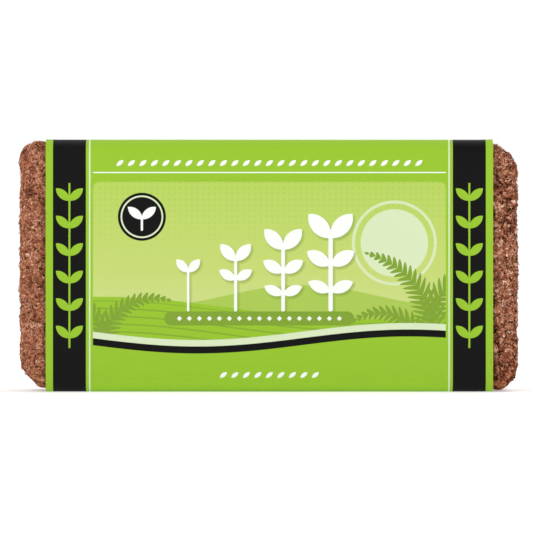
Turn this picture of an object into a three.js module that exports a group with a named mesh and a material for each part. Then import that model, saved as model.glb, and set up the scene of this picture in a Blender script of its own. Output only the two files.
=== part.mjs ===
// A pressed coconut coir brick in a printed card sleeve, standing on its long narrow side.
// Units are millimetres. +X runs along the brick, -Y is the printed front and +Z is up. The
// origin is on the surface that the brick stands on, below the middle of the pack's box.
import * as THREE from "three";
import { mergeVertices } from "three/addons/utils/BufferGeometryUtils.js";

// The pack, measured over the card
const PACK_LENGTH = 200;
const PACK_DEPTH = 55;
const PACK_HEIGHT = 101;

// The card sleeve
const CARD_THICKNESS = 0.4;
const FIT_GAP = 0.3;
const SLEEVE_LENGTH = 179;
const SLEEVE_OFFSET = 0.25; // the band sits a little right of the middle
const LAP_WIDTH = 16; // where the card's two ends are glued over each other, on the back
const LAP_EDGE_HEIGHT = 24; // the free edge of the outer end, above the ground
const LAP_RAMP = 2.5; // the outer end settles back on the coir over this height
const FOLD_SEGMENTS = 6;

// The coir block
const EDGE_RADIUS = 4; // along the front and back rims
const CORNER_RADII = { topLeft: 7.7, topRight: 14.2, bottomLeft: 14, bottomRight: 9.6 };
const SWELL = 0.45; // the coir stands this much fuller past the mouths of the sleeve
const SWELL_START = 0.5; // distance past the mouth where the swelling begins
const SWELL_RUN = 2.4;
const GROUND_CLEARANCE = 0.25;

// The relief of the pressed coir: how wide each kind of feature is, and how deep. The noise
// behind a pit or a crumbled rim starts it at from and makes it full at to.
const HUMMOCK = { width: 17, depth: 0.55, seed: 3.1 };
const CLUMP = { width: 7.5, depth: 0.75, seed: 7.7 };
const PIT = { width: 6.3, depth: 1.5, from: 0.1, to: 0.6, seed: 12.3 };
const RIM_CRUMBLE = { width: 8.5, depth: 1.1, from: 0, to: 0.55, seed: 5.9 };
const RIM_TURN = { from: 0.02, to: 0.28 }; // how far a normal leans over on a rim
const SCATTER = { x: 127.1, y: 311.7, z: 74.7, salt: 53.3, gain: 43758.5453 };
const NOISE_GAIN = 1.42; // brings the noise to about -1 to 1
const PRESSED_LEVEL = 0.12; // the press flattens whatever would stand above this
const DEEPEST = 1.7; // no pit or crumbled rim goes deeper than this
const HIDDEN_RELIEF = 0.25; // share of the relief that is left under the card

// The grid that the block is made from: fine on the bare ends, coarse under the card
const END_STATIONS = [0, 2.2, 4.4, 6.6, 8.8, 11, 13.2, 17]; // distances from an end face
const MIDDLE_STEPS = 4;
const FLAT_ROWS = 18; // rows across the depth, between the two rims
const RIM_ROWS = 3; // rows round each rim
const HEIGHT_ROWS = 40;

// Places that follow from the sizes above
const WRAP = CARD_THICKNESS + FIT_GAP;
const block = {
  left: -PACK_LENGTH / 2,
  right: PACK_LENGTH / 2,
  front: -PACK_DEPTH / 2 + WRAP,
  back: PACK_DEPTH / 2 - CARD_THICKNESS - WRAP, // the lap is one more card thick
  bottom: WRAP,
  top: PACK_HEIGHT - WRAP,
};
const mouthLeft = SLEEVE_OFFSET - SLEEVE_LENGTH / 2;
const mouthRight = SLEEVE_OFFSET + SLEEVE_LENGTH / 2;

const smooth = (from, to, x) => THREE.MathUtils.smoothstep(x, from, to);
const fade = (t) => THREE.MathUtils.smootherstep(t, 0, 1);

// A number from -1 to 1 that looks random, and is always the same for a corner of the lattice
// of unit cubes and a salt.
function scattered(i, j, k, salt) {
  const angle = i * SCATTER.x + j * SCATTER.y + k * SCATTER.z + salt * SCATTER.salt;
  const value = Math.sin(angle) * SCATTER.gain;
  return 2 * (value - Math.floor(value)) - 1;
}

// Smooth noise from about -1 to 1 at a point, for a feature of the width and seed given. Each
// corner of the lattice has a random slope, and the heights that the slopes give are blended.
function noiseAt(point, { width, seed }) {
  const place = [point.x / width, point.y / width, point.z / width];
  const cell = place.map(Math.floor);
  let height = 0;
  for (let corner = 0; corner < 8; corner++) {
    const at = cell.map((whole, axis) => whole + ((corner >> axis) & 1));
    const away = place.map((value, axis) => value - at[axis]);
    const slopes = away.map((_, axis) => scattered(...at, seed + axis));
    const weight = away.reduce((product, d) => product * fade(1 - Math.abs(d)), 1);
    height += weight * away.reduce((sum, d, axis) => sum + slopes[axis] * d, 0);
  }
  return NOISE_GAIN * height;
}

// Distances along the block of the rings of vertices, from its left end to its right end.
function stationsAlongBlock() {
  const inner = END_STATIONS[END_STATIONS.length - 1];
  const first = block.left + inner;
  const step = (block.right - inner - first) / MIDDLE_STEPS;
  const stations = END_STATIONS.map((distance) => block.left + distance);
  for (let i = 1; i < MIDDLE_STEPS; i++) stations.push(first + i * step);
  for (const distance of [...END_STATIONS].reverse()) stations.push(block.right - distance);
  return stations;
}

// Rows from the front face to the back face: each has its depth, and how far the outline is
// drawn in there to round the rim.
function rowsAcrossDepth() {
  const frontRim = [];
  for (let i = 0; i < RIM_ROWS; i++) {
    const angle = (Math.PI / 2) * (1 - i / RIM_ROWS);
    frontRim.push({
      y: block.front + EDGE_RADIUS * (1 - Math.sin(angle)),
      inset: EDGE_RADIUS * (1 - Math.cos(angle)),
    });
  }
  const backRim = frontRim.map((row) => ({
    y: block.front + block.back - row.y,
    inset: row.inset,
  }));
  const flat = [];
  for (let i = 0; i <= FLAT_ROWS; i++) {
    const share = i / FLAT_ROWS;
    const y = THREE.MathUtils.lerp(block.front + EDGE_RADIUS, block.back - EDGE_RADIUS, share);
    flat.push({ y, inset: 0 });
  }
  return [...frontRim, ...flat, ...backRim.reverse()];
}

// The radius of the outline's corner nearest to a point seen from the front.
function cornerRadius(x, z) {
  const isTop = z > (block.top + block.bottom) / 2;
  if (isTop) return x < 0 ? CORNER_RADII.topLeft : CORNER_RADII.topRight;
  return x < 0 ? CORNER_RADII.bottomLeft : CORNER_RADII.bottomRight;
}

// Moves a point of the block's bounding rectangle, seen from the front, to the outline with
// round corners that is drawn in by inset. A square corner patch becomes a quarter disc.
function roundOutline(x, z, inset) {
  const middleZ = (block.top + block.bottom) / 2;
  const halfLength = block.right;
  const halfHeight = (block.top - block.bottom) / 2;
  const radius = cornerRadius(x, z) - inset;
  const px = Math.abs(x) * (1 - inset / halfLength);
  const pz = Math.abs(z - middleZ) * (1 - inset / halfHeight);
  const centreX = halfLength - inset - radius;
  const centreZ = halfHeight - inset - radius;
  const dx = (px - centreX) / radius;
  const dz = (pz - centreZ) / radius;
  let rx = px;
  let rz = pz;
  if (dx > 0 && dz > 0) {
    const reach = Math.max(dx, dz) / Math.hypot(dx, dz);
    rx = centreX + radius * dx * reach;
    rz = centreZ + radius * dz * reach;
  }
  return { x: Math.sign(x) * rx, z: middleZ + Math.sign(z - middleZ) * rz };
}

// 1 on the bare ends and 0 well under the card, with a soft step at each mouth.
function bareness(x) {
  const past = Math.max(mouthLeft - x, x - mouthRight);
  return smooth(SWELL_START - SWELL_RUN, SWELL_START, past);
}

// How far the coir stands fuller outside the card, which holds it in.
function swellAt(x) {
  const past = Math.max(mouthLeft - x, x - mouthRight);
  return SWELL * smooth(SWELL_START, SWELL_START + SWELL_RUN, past);
}

// How far the surface lies from the pressed faces at a point, 0 or less. Rims and corners
// crumble, where rim is 1, and the flats between them have the pits.
function reliefAt(point, rim) {
  const hummocks = HUMMOCK.depth * noiseAt(point, HUMMOCK);
  const clumps = CLUMP.depth * noiseAt(point, CLUMP);
  const pitted = smooth(PIT.from, PIT.to, noiseAt(point, PIT));
  const crumbled = smooth(RIM_CRUMBLE.from, RIM_CRUMBLE.to, noiseAt(point, RIM_CRUMBLE));
  const lost = PIT.depth * pitted * (1 - rim) + RIM_CRUMBLE.depth * crumbled * rim;
  return Math.max(Math.min(0, hummocks + clumps - PRESSED_LEVEL) - lost, -DEEPEST);
}

// How much a normal points between two of the block's main directions: 0 on a flat, 1 on a corner.
function rimShare(normal) {
  const largest = Math.max(Math.abs(normal.x), Math.abs(normal.y), Math.abs(normal.z));
  return smooth(RIM_TURN.from, RIM_TURN.to, 1 - largest);
}

// Splits each square of the grid along its shorter diagonal, so that the edges follow the
// ridges and pits. A square comes as the triangles a b d and b c d.
function followRelief(grid) {
  const position = grid.getAttribute("position");
  const index = grid.getIndex();
  const corner = (i) => new THREE.Vector3().fromBufferAttribute(position, index.getX(i));
  for (let i = 0; i < index.count; i += 6) {
    const [a, b, d, c] = [i, i + 1, i + 2, i + 4].map(corner);
    if (a.distanceTo(c) < b.distanceTo(d)) {
      index.setX(i + 2, index.getX(i + 4));
      index.setX(i + 3, index.getX(i));
    }
  }
}

// The block: a box whose vertices are moved to the rounded outline and then to the rough coir.
function coirBlockGeometry() {
  const stations = stationsAlongBlock();
  const rows = rowsAcrossDepth();
  const steps = { x: stations.length - 1, y: rows.length - 1, z: HEIGHT_ROWS };
  const box = new THREE.BoxGeometry(2, 2, 2, steps.x, steps.y, steps.z);
  box.deleteAttribute("normal");
  box.deleteAttribute("uv");
  const grid = mergeVertices(box);
  const position = grid.getAttribute("position");
  const indexOf = (coordinate, count) => Math.round(((coordinate + 1) / 2) * count);
  for (let i = 0; i < position.count; i++) {
    const x = stations[indexOf(position.getX(i), steps.x)];
    const row = rows[indexOf(position.getY(i), steps.y)];
    const z = THREE.MathUtils.mapLinear(position.getZ(i), -1, 1, block.bottom, block.top);
    const outline = roundOutline(x, z, row.inset);
    position.setXYZ(i, outline.x, row.y, outline.z);
  }
  grid.computeVertexNormals();
  const normals = grid.getAttribute("normal");
  const point = new THREE.Vector3();
  const normal = new THREE.Vector3();
  for (let i = 0; i < position.count; i++) {
    point.fromBufferAttribute(position, i);
    normal.fromBufferAttribute(normals, i);
    const bare = bareness(point.x);
    const share = THREE.MathUtils.lerp(HIDDEN_RELIEF, 1, bare);
    const relief = reliefAt(point, rimShare(normal)) * share;
    const swell = swellAt(point.x);
    const x = point.x + normal.x * relief;
    const y = point.y + normal.y * (relief + swell);
    const z = Math.max(point.z + normal.z * (relief + swell), GROUND_CLEARANCE);
    position.setXYZ(i, x, y, z);
  }
  followRelief(grid);
  grid.computeVertexNormals();
  return grid;
}

// Adds a closed line round a rectangle with round corners to a path, starting at the bottom of
// the back side and going up it. lapStep is how far the glued lap stands out on the back side.
function traceBand(path, { front, back, bottom, top, radius, lapStep }) {
  const quarter = Math.PI / 2;
  path.moveTo(back, bottom + radius);
  if (lapStep > 0) {
    path.lineTo(back, LAP_EDGE_HEIGHT);
    path.lineTo(back + lapStep, LAP_EDGE_HEIGHT);
    path.lineTo(back + lapStep, LAP_EDGE_HEIGHT + LAP_WIDTH);
    path.lineTo(back, LAP_EDGE_HEIGHT + LAP_WIDTH + LAP_RAMP);
  }
  path.lineTo(back, top - radius);
  path.absarc(back - radius, top - radius, radius, 0, quarter, false);
  path.lineTo(front + radius, top);
  path.absarc(front + radius, top - radius, radius, quarter, 2 * quarter, false);
  path.lineTo(front, bottom + radius);
  path.absarc(front + radius, bottom + radius, radius, 2 * quarter, 3 * quarter, false);
  path.lineTo(back - radius, bottom);
  path.absarc(back - radius, bottom + radius, radius, 3 * quarter, 4 * quarter, false);
  path.closePath();
  return path;
}

// The sleeve: the band's section, drawn with depth across and height up, run along the block.
function cardSleeveGeometry() {
  const outer = {
    front: -PACK_DEPTH / 2,
    back: PACK_DEPTH / 2 - CARD_THICKNESS,
    bottom: 0,
    top: PACK_HEIGHT,
    radius: EDGE_RADIUS + WRAP,
    lapStep: CARD_THICKNESS,
  };
  const inner = {
    front: outer.front + CARD_THICKNESS,
    back: outer.back - CARD_THICKNESS,
    bottom: outer.bottom + CARD_THICKNESS,
    top: outer.top - CARD_THICKNESS,
    radius: EDGE_RADIUS + FIT_GAP,
    lapStep: 0,
  };
  const section = traceBand(new THREE.Shape(), outer);
  section.holes.push(traceBand(new THREE.Path(), inner));
  return new THREE.ExtrudeGeometry(section, {
    depth: SLEEVE_LENGTH,
    bevelEnabled: false,
    curveSegments: FOLD_SEGMENTS,
  });
}

function coirBlock() {
  const coir = new THREE.MeshStandardMaterial({ color: 0x98614a, roughness: 0.95, metalness: 0 });
  const mesh = new THREE.Mesh(coirBlockGeometry(), coir);
  mesh.name = "coir_block";
  return mesh;
}

function cardSleeve() {
  const printedCard = new THREE.MeshStandardMaterial({ color: 0x9cc93a, roughness: 0.45, metalness: 0 });
  const mesh = new THREE.Mesh(cardSleeveGeometry(), printedCard);
  mesh.name = "card_sleeve";
  const alongDepth = new THREE.Vector3(0, 1, 0);
  const up = new THREE.Vector3(0, 0, 1);
  const alongBlock = new THREE.Vector3(1, 0, 0);
  mesh.setRotationFromMatrix(new THREE.Matrix4().makeBasis(alongDepth, up, alongBlock));
  mesh.position.set(mouthLeft, 0, 0);
  return mesh;
}

const coirBrick = new THREE.Group();
coirBrick.add(coirBlock(), cardSleeve());

export default coirBrick;
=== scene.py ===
"""A pressed coconut coir brick in a printed card sleeve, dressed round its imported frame.

The brick stands on its long narrow side: X runs along it, -Y is out of the printed front and Z
is up. Sizes are in millimetres, and become metres where a mesh, a lamp or the camera is made.
"""

import itertools
import logging
import math
from collections.abc import Callable
from dataclasses import dataclass
from enum import Enum

import bpy
import numpy as np
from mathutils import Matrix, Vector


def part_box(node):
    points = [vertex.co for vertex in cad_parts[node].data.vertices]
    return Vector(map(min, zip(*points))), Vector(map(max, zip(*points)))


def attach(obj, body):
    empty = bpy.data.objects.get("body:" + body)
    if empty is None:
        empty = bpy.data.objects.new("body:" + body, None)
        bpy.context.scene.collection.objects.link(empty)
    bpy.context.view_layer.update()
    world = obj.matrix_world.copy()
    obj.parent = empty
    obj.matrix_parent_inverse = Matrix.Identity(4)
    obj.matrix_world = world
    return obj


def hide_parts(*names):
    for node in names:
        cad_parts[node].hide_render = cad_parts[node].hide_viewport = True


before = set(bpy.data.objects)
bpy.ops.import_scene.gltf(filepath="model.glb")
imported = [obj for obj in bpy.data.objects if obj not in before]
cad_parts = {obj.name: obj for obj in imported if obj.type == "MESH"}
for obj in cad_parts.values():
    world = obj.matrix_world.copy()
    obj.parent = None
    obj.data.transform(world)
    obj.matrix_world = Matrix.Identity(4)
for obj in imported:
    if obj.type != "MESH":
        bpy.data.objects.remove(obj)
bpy.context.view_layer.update()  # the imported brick: its bodies, nodes and record

MM = 0.001
BODY = "root"
COIR_NODE = "coir_block"
SLEEVE_NODE = "card_sleeve"
COIR_SLOT = "coir"
CARD_SLOT = "printed_card"

Array = np.ndarray
Random = np.random.Generator
Colour = tuple[float, float, float, float]
log = logging.getLogger("coir_brick")


def linear(srgb: tuple[int, int, int]) -> Colour:
    """Turns a screen colour, from 0 to 255, into linear light from 0 to 1 with an alpha of 1."""
    shares = [part / 255.0 for part in srgb]
    return (*(s / 12.92 if s <= 0.04045 else ((s + 0.055) / 1.055) ** 2.4 for s in shares), 1.0)


def node_box(node: str) -> tuple[Array, Array]:
    """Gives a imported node's lowest and highest corner."""
    low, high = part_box(node)
    return np.array(low) / MM, np.array(high) / MM


def smooth(start: float, end: float, values: Array) -> Array:
    """Rises from 0 at start to 1 at end along 3t^2 - 2t^3, and is flat outside."""
    t = np.clip((values - start) / (end - start), 0.0, 1.0)
    return t * t * (3.0 - 2.0 * t)


def unit(vectors: Array) -> Array:
    """Scales vectors, with X, Y and Z on the last axis, to a length of 1."""
    lengths = np.linalg.norm(vectors, axis=-1, keepdims=True)
    return vectors / np.maximum(lengths, 1e-12)


def squares(*corners: Array) -> Array:
    """Joins four arrays of vertex numbers, in turn round each square, into squares."""
    return np.stack(corners, axis=-1).reshape(-1, 4)


@dataclass(frozen=True)
class Roughness:
    """One kind of relief: smooth random slopes on a lattice of cubes, blended between corners."""

    width: float
    depth: float = 1.0
    seed: float = 0.0

    SPREAD = (127.1, 311.7, 74.7)
    SALT = 53.3
    SCATTER_GAIN = 43758.5453
    NOISE_GAIN = 1.42
    JITTER = 0.42

    @classmethod
    def scattered(cls, cell: Array, salt: float) -> Array:
        """Gives a number from -1 to 1 that looks random: twice a large sine's fraction, less 1."""
        value = np.sin(cell @ np.array(cls.SPREAD) + salt * cls.SALT) * cls.SCATTER_GAIN
        return 2.0 * (value - np.floor(value)) - 1.0

    def drawn(self, cell: Array) -> Array:
        """Gives three such numbers for each cell, on a last axis."""
        return np.stack([self.scattered(cell, self.seed + axis) for axis in range(3)], axis=-1)

    def noise(self, points: Array) -> Array:
        """Blends, over the 8 corners round a point, the heights that the corners' slopes give.

        Args:
            points: places, with X, Y and Z on the last axis.

        Returns:
            Noise from about -1 to 1 at each place.
        """
        place = points / self.width
        height = np.zeros(points.shape[:-1])
        for corner in itertools.product((0.0, 1.0), repeat=3):
            cell = np.floor(place) + corner
            away = place - cell
            near = 1.0 - np.abs(away)
            weight = (near**3 * (near * (near * 6.0 - 15.0) + 10.0)).prod(axis=-1)
            height += weight * (self.drawn(cell) * away).sum(axis=-1)
        return self.NOISE_GAIN * height

    def relief(self, points: Array) -> Array:
        """Gives the noise at each place, times the depth."""
        return self.depth * self.noise(points)

    def cells(self, points: Array) -> tuple[Array, Array]:
        """Finds the nearest of the centres scattered one to a cube of the lattice.

        Args:
            points: places, with X, Y and Z on the last axis.

        Returns:
            The distance to the centre in widths, and a number from -1 to 1 that it owns.
        """
        place = points / self.width
        nearest = np.full(points.shape[:-1], np.inf)
        owned = np.zeros(points.shape[:-1])
        for corner in itertools.product((-1.0, 0.0, 1.0), repeat=3):
            cell = np.floor(place) + corner
            centre = cell + 0.5 + self.JITTER * self.drawn(cell)
            distance = np.linalg.norm(place - centre, axis=-1)
            owned = np.where(distance < nearest, self.scattered(cell, self.seed + 3.0), owned)
            nearest = np.minimum(distance, nearest)
        return nearest, owned


@dataclass(frozen=True)
class CoirShape:
    """The pressed brick's form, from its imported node: where its surface is and how rough.

    The radii are those of the left and the right corner, seen from the front.
    """

    low: Array
    high: Array
    mouth_left: float
    mouth_right: float
    lower_radii: tuple[float, float] = (14.0, 9.6)
    upper_radii: tuple[float, float] = (7.7, 14.2)
    rim: float = 4.0
    swell: float = 0.45
    swell_start: float = 0.5
    swell_run: float = 2.4
    ground_clearance: float = 0.25
    pressed_level: float = 0.12
    deepest: float = 1.7
    hidden_relief: float = 0.25
    bed: float = 0.28
    tuck: float = 0.18
    tiny: float = 0.02

    HUMMOCKS = Roughness(17.0, 0.55, 3.1)
    CLUMPS = Roughness(7.5, 0.75, 7.7)
    PITS = Roughness(6.3, 1.5, 12.3)
    PIT_LEVELS = (0.1, 0.6)
    RIM_CRUMBLE = Roughness(8.5, 1.1, 5.9)
    CRUMBLE_LEVELS = (0.0, 0.55)
    RIM_LEANS = (0.02, 0.28)
    KNOBS = Roughness(3.1, 0.34, 21.7)
    GRAINS = Roughness(1.45, 0.3, 33.1)
    DOME_HEIGHT = 0.45
    DOME_STAGGER = 0.55
    CRACKS = Roughness(4.2, 0.55, 41.9)
    CRACK_WIDTH = 0.07
    SPECKS = Roughness(0.95, 0.16, 55.3)
    HOLES = Roughness(2.9, 1.5, 83.7)
    HOLE_LEVELS = (0.05, 0.4)
    TORN_MIDDLE = (96.0, -26.0, 77.0)
    TORN_SPREAD = (4.5, 14.0, 13.0)
    SQUEEZE = (1.0, 1.5, 1.0)
    RUGGED_RUN = (-60.0, 90.0)
    RUGGED_LEFT = 0.75
    RUGGED_MORE = 0.45
    TUCK_RUN = (0.1, 0.6)

    @classmethod
    def from_frame(cls, card: float, gap: float) -> "CoirShape":
        """Works the brick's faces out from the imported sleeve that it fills.

        Args:
            card: thickness of the card.
            gap: how far the coir stays off the card.

        Returns:
            The shape.
        """
        sleeve_low, sleeve_high = node_box(SLEEVE_NODE)
        coir_low, coir_high = node_box(COIR_NODE)
        wrap = card + gap
        low = np.array([coir_low[0], sleeve_low[1] + wrap, sleeve_low[2] + wrap])
        high = np.array([coir_high[0], sleeve_high[1] - card - wrap, sleeve_high[2] - wrap])
        return cls(low, high, sleeve_low[0], sleeve_high[0])

    @property
    def middle(self) -> Array:
        """Gives the middle of the brick's faces."""
        return (self.low + self.high) / 2.0

    @property
    def half(self) -> Array:
        """Gives half of the brick's size."""
        return (self.high - self.low) / 2.0

    def corner_radius(self, points: Array) -> Array:
        """Picks the radius of the outline's corner that is nearest, seen from the front."""
        upper, right = points[..., 2] > self.middle[2], points[..., 0] >= self.middle[0]
        return np.array([self.lower_radii, self.upper_radii])[upper.astype(int), right.astype(int)]

    def distance(self, points: Array) -> Array:
        """Measures how far a place is outside the smooth brick.

        The outline is a rectangle with round corners, drawn in by the rim's radius and run
        through the depth, and the rim's radius is then added all round.

        Args:
            points: places, with X, Y and Z on the last axis.

        Returns:
            The distance, negative inside.
        """
        radius = self.corner_radius(points)[..., None]
        flat = np.abs(points - self.middle)[..., [0, 2]] - self.half[[0, 2]] + radius
        outline = np.linalg.norm(np.maximum(flat, 0.0), axis=-1)
        outline += np.minimum(flat.max(axis=-1), 0.0) - radius[..., 0]
        depth = np.abs(points[..., 1] - self.middle[1]) - self.half[1]
        both = np.stack([outline, depth], axis=-1) + self.rim
        outside = np.linalg.norm(np.maximum(both, 0.0), axis=-1)
        return outside + np.minimum(both.max(axis=-1), 0.0) - self.rim

    def normals(self, points: Array) -> Array:
        """Finds the way out, from how the distance changes over a tiny step each way.

        Args:
            points: places near the surface.

        Returns:
            Vectors of length 1.
        """
        steps = self.tiny * np.eye(3)
        rises = [self.distance(points + step) - self.distance(points - step) for step in steps]
        return unit(np.stack(rises, axis=-1))

    def settle(self, points: Array) -> Array:
        """Moves places onto the smooth brick, along the way out.

        Args:
            points: places near its surface.

        Returns:
            Places on its surface.
        """
        rounds = 3
        for _ in range(rounds):
            points = points - self.distance(points)[..., None] * self.normals(points)
        return points

    def past_mouth(self, points: Array) -> Array:
        """Measures how far a place is past the sleeve's nearer mouth, negative under the card."""
        return np.maximum(self.mouth_left - points[..., 0], points[..., 0] - self.mouth_right)

    def tucked(self, points: Array) -> Array:
        """Presses what reaches under the card down, so that it stays in the gap there.

        Args:
            points: places of loose grains.

        Returns:
            The same places past the mouths, and lower ones under the card.
        """
        over = np.maximum(self.distance(points) - self.tuck, 0.0)
        under = over * (1.0 - smooth(*self.TUCK_RUN, self.past_mouth(points)))
        return points - under[..., None] * self.normals(points)

    def off_floor(self, points: Array, spare: float = 0.0) -> Array:
        """Raises places to the least clearance over the floor, and that much to spare."""
        return np.maximum(points, (-np.inf, -np.inf, self.ground_clearance + spare))

    def bareness(self, points: Array) -> Array:
        """Gives 1 on the bare ends and 0 well under the card, with a soft step between."""
        return smooth(self.swell_start - self.swell_run, self.swell_start, self.past_mouth(points))

    def coarse_relief(self, points: Array, normals: Array) -> Array:
        """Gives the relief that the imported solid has: hummocks, clumps, pits and crumbled rims.

        Args:
            points: places on the smooth brick.
            normals: the way out there.

        Returns:
            How far the surface is out, 0 or less.
        """
        rim = smooth(*self.RIM_LEANS, 1.0 - np.abs(normals).max(axis=-1))
        pitted = smooth(*self.PIT_LEVELS, self.PITS.noise(points)) * (1.0 - rim)
        crumbled = smooth(*self.CRUMBLE_LEVELS, self.RIM_CRUMBLE.noise(points)) * rim
        lost = self.PITS.depth * pitted + self.RIM_CRUMBLE.depth * crumbled
        swollen = self.HUMMOCKS.relief(points) + self.CLUMPS.relief(points)
        return np.maximum(np.minimum(0.0, swollen - self.pressed_level) - lost, -self.deepest)

    def fine_relief(self, points: Array) -> Array:
        """Gives the relief of pith grains pressed together, with cracks between clumps.

        A grain is a dome round the centre of its cell, set a little up or down. The press
        flattens the grains front to back, so cells are thinner that way. A crack runs where
        a smooth noise crosses 0. The relief grows towards the right end, and holes are torn
        in it there, about one place near the upper rim.

        Args:
            points: places on the smooth brick.

        Returns:
            How far the surface is out.
        """
        squeezed = points * np.array(self.SQUEEZE)
        away, owned = self.GRAINS.cells(squeezed)
        domes = self.GRAINS.depth * (self.DOME_HEIGHT - away + self.DOME_STAGGER * owned)
        crack = np.exp(-((self.CRACKS.noise(squeezed) / self.CRACK_WIDTH) ** 2))
        knobs = self.KNOBS.relief(squeezed)
        plain = domes + knobs + self.SPECKS.relief(points) - self.CRACKS.depth * crack
        off = (points - np.array(self.TORN_MIDDLE)) / np.array(self.TORN_SPREAD)
        hole = smooth(*self.HOLE_LEVELS, self.HOLES.noise(squeezed))
        torn = np.exp(-(off**2).sum(axis=-1)) * hole
        rugged = self.RUGGED_LEFT + self.RUGGED_MORE * smooth(*self.RUGGED_RUN, points[..., 0])
        return plain * rugged - self.HOLES.depth * torn

    def surface(self, points: Array, fineness: float = 1.0) -> tuple[Array, Array, Array]:
        """Raises places on the smooth brick to the rough coir.

        Args:
            points: places on the smooth brick.
            fineness: share of the fine relief to add.

        Returns:
            The rough places, the way out there, and the fine relief.
        """
        normals = self.normals(points)
        bare = self.bareness(points)
        share = self.hidden_relief + (1.0 - self.hidden_relief) * bare
        fine = self.fine_relief(points)
        inward = self.coarse_relief(points, normals) * share
        inward += bare * (fineness * fine - self.bed)
        end = self.swell_start + self.swell_run
        swell = self.swell * smooth(self.swell_start, end, self.past_mouth(points))
        out = inward[..., None] + swell[..., None] * np.array([0.0, 1.0, 1.0])
        return self.off_floor(points + normals * out), normals, fine


def put(name: str, data: bpy.types.ID) -> bpy.types.Object:
    """Makes an object of a mesh, a lamp or a lens, and puts it into the scene.

    Args:
        name: the object's name.
        data: the mesh, lamp or lens.

    Returns:
        The object.
    """
    thing = bpy.data.objects.new(name, data)
    bpy.context.scene.collection.objects.link(thing)
    return thing


def make_piece(
    name: str, vertices: Array, faces: list[Array], slot: str, *finishes: bpy.types.Material
) -> bpy.types.Object:
    """Puts a piece's arrays into a mesh at the origin, and lets it ride on the brick's body.

    Args:
        name: the piece's name.
        vertices: its vertices' places.
        faces: arrays of corner numbers, each with as many columns as its faces have corners.
        slot: the record's material slot; not used.
        *finishes: its materials.

    Returns:
        The piece.
    """
    corners = np.concatenate([part.ravel() for part in faces]).astype(np.int32)
    sizes = np.concatenate([np.full(len(part), part.shape[1]) for part in faces])
    starts = np.concatenate([[0], np.cumsum(sizes)[:-1]]).astype(np.int32)
    mesh = bpy.data.meshes.new(name)
    mesh.vertices.add(len(vertices))
    mesh.vertices.foreach_set("co", (vertices * MM).astype(np.float32).ravel())
    mesh.loops.add(len(corners))
    mesh.loops.foreach_set("vertex_index", corners)
    mesh.polygons.add(len(starts))
    mesh.polygons.foreach_set("loop_start", starts)
    mesh.update(calc_edges=True)
    mesh.shade_smooth()
    for finish in finishes:
        mesh.materials.append(finish)
    piece = put(name, mesh)
    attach(piece, BODY)
    log.info("%s: %d triangles", name, (sizes - 2).sum())
    return piece


def add_values(piece: bpy.types.Object, name: str, values: Array) -> None:
    """Gives a piece's vertices a number each, as a named attribute for its finish to read."""
    attribute = piece.data.attributes.new(name, "FLOAT", "POINT")
    attribute.data.foreach_set("value", values.astype(np.float32).ravel())


def add_map(piece: bpy.types.Object, name: str, places: Array) -> None:
    """Gives a piece a UV map: a pair of numbers for each corner of each face, in their order."""
    layer = piece.data.uv_layers.new(name=name)
    layer.data.foreach_set("uv", places.astype(np.float32).ravel())


@dataclass(frozen=True)
class Patch:
    """A rectangle in a UV map's square, and the stretch of a surface that is laid in it.

    It takes two of the three numbers that a place on the surface has.
    """

    axes: tuple[int, int]
    low: tuple[float, float]
    high: tuple[float, float]
    corner: tuple[float, float]
    size: tuple[float, float]

    def lay(self, places: Array) -> Array:
        """Moves places into the rectangle, evenly along both of its sides."""
        share = (places[..., self.axes] - np.array(self.low)) / np.subtract(self.high, self.low)
        return self.corner + share * self.size


def operator(operation: str, back: bool = False) -> Callable[..., "Term"]:
    """Makes a method of Term that adds a Math node.

    Args:
        operation: what the node does.
        back: whether the other number comes first.

    Returns:
        The method.
    """

    def method(term: "Term", *others: "Number") -> "Term":
        """Adds the Math node."""
        inputs = (term, *others)
        return term.graph.maths(operation, *(inputs[::-1] if back else inputs))

    return method


@dataclass(frozen=True)
class Term:
    """A number that varies over a surface: a node's output, with arithmetic on it.

    Plus, minus, times, over and power work on it as on a plain number, and least and most
    take the smaller and the larger of two.
    """

    graph: "Graph"
    socket: bpy.types.NodeSocket

    __add__ = __radd__ = operator("ADD")
    __sub__ = operator("SUBTRACT")
    __rsub__ = operator("SUBTRACT", back=True)
    __mul__ = __rmul__ = operator("MULTIPLY")
    __truediv__ = operator("DIVIDE")
    __rtruediv__ = operator("DIVIDE", back=True)
    __pow__ = operator("POWER")
    __abs__ = operator("ABSOLUTE")
    least = operator("MINIMUM")
    most = operator("MAXIMUM")

    def fade(self, slope: float, start: float = 0.0) -> "Term":
        """Gives the number times slope plus start, kept from 0 to 1."""
        return self.graph.maths("MULTIPLY_ADD", self, slope, start, clamp=True)

    def cycle(self, pitch: float, shift: float = 0.0) -> "Term":
        """Runs from -pitch / 2 to pitch / 2 over and over, shifted by that share of a pitch."""
        return (self.graph.maths("FRACT", self / pitch + shift) - 0.5) * pitch

    def band(self, middle: float, half: float) -> "Term":
        """Gives the signed distance to a band about that number, and as wide as twice half."""
        return abs(self - middle) - half

    def inside(self, soft: float = 0.14) -> "Term":
        """Gives 1 where a signed distance is inside its shape, with an edge as wide as soft."""
        return self.fade(-1.0 / soft, 0.5)


Number = Term | float


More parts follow.
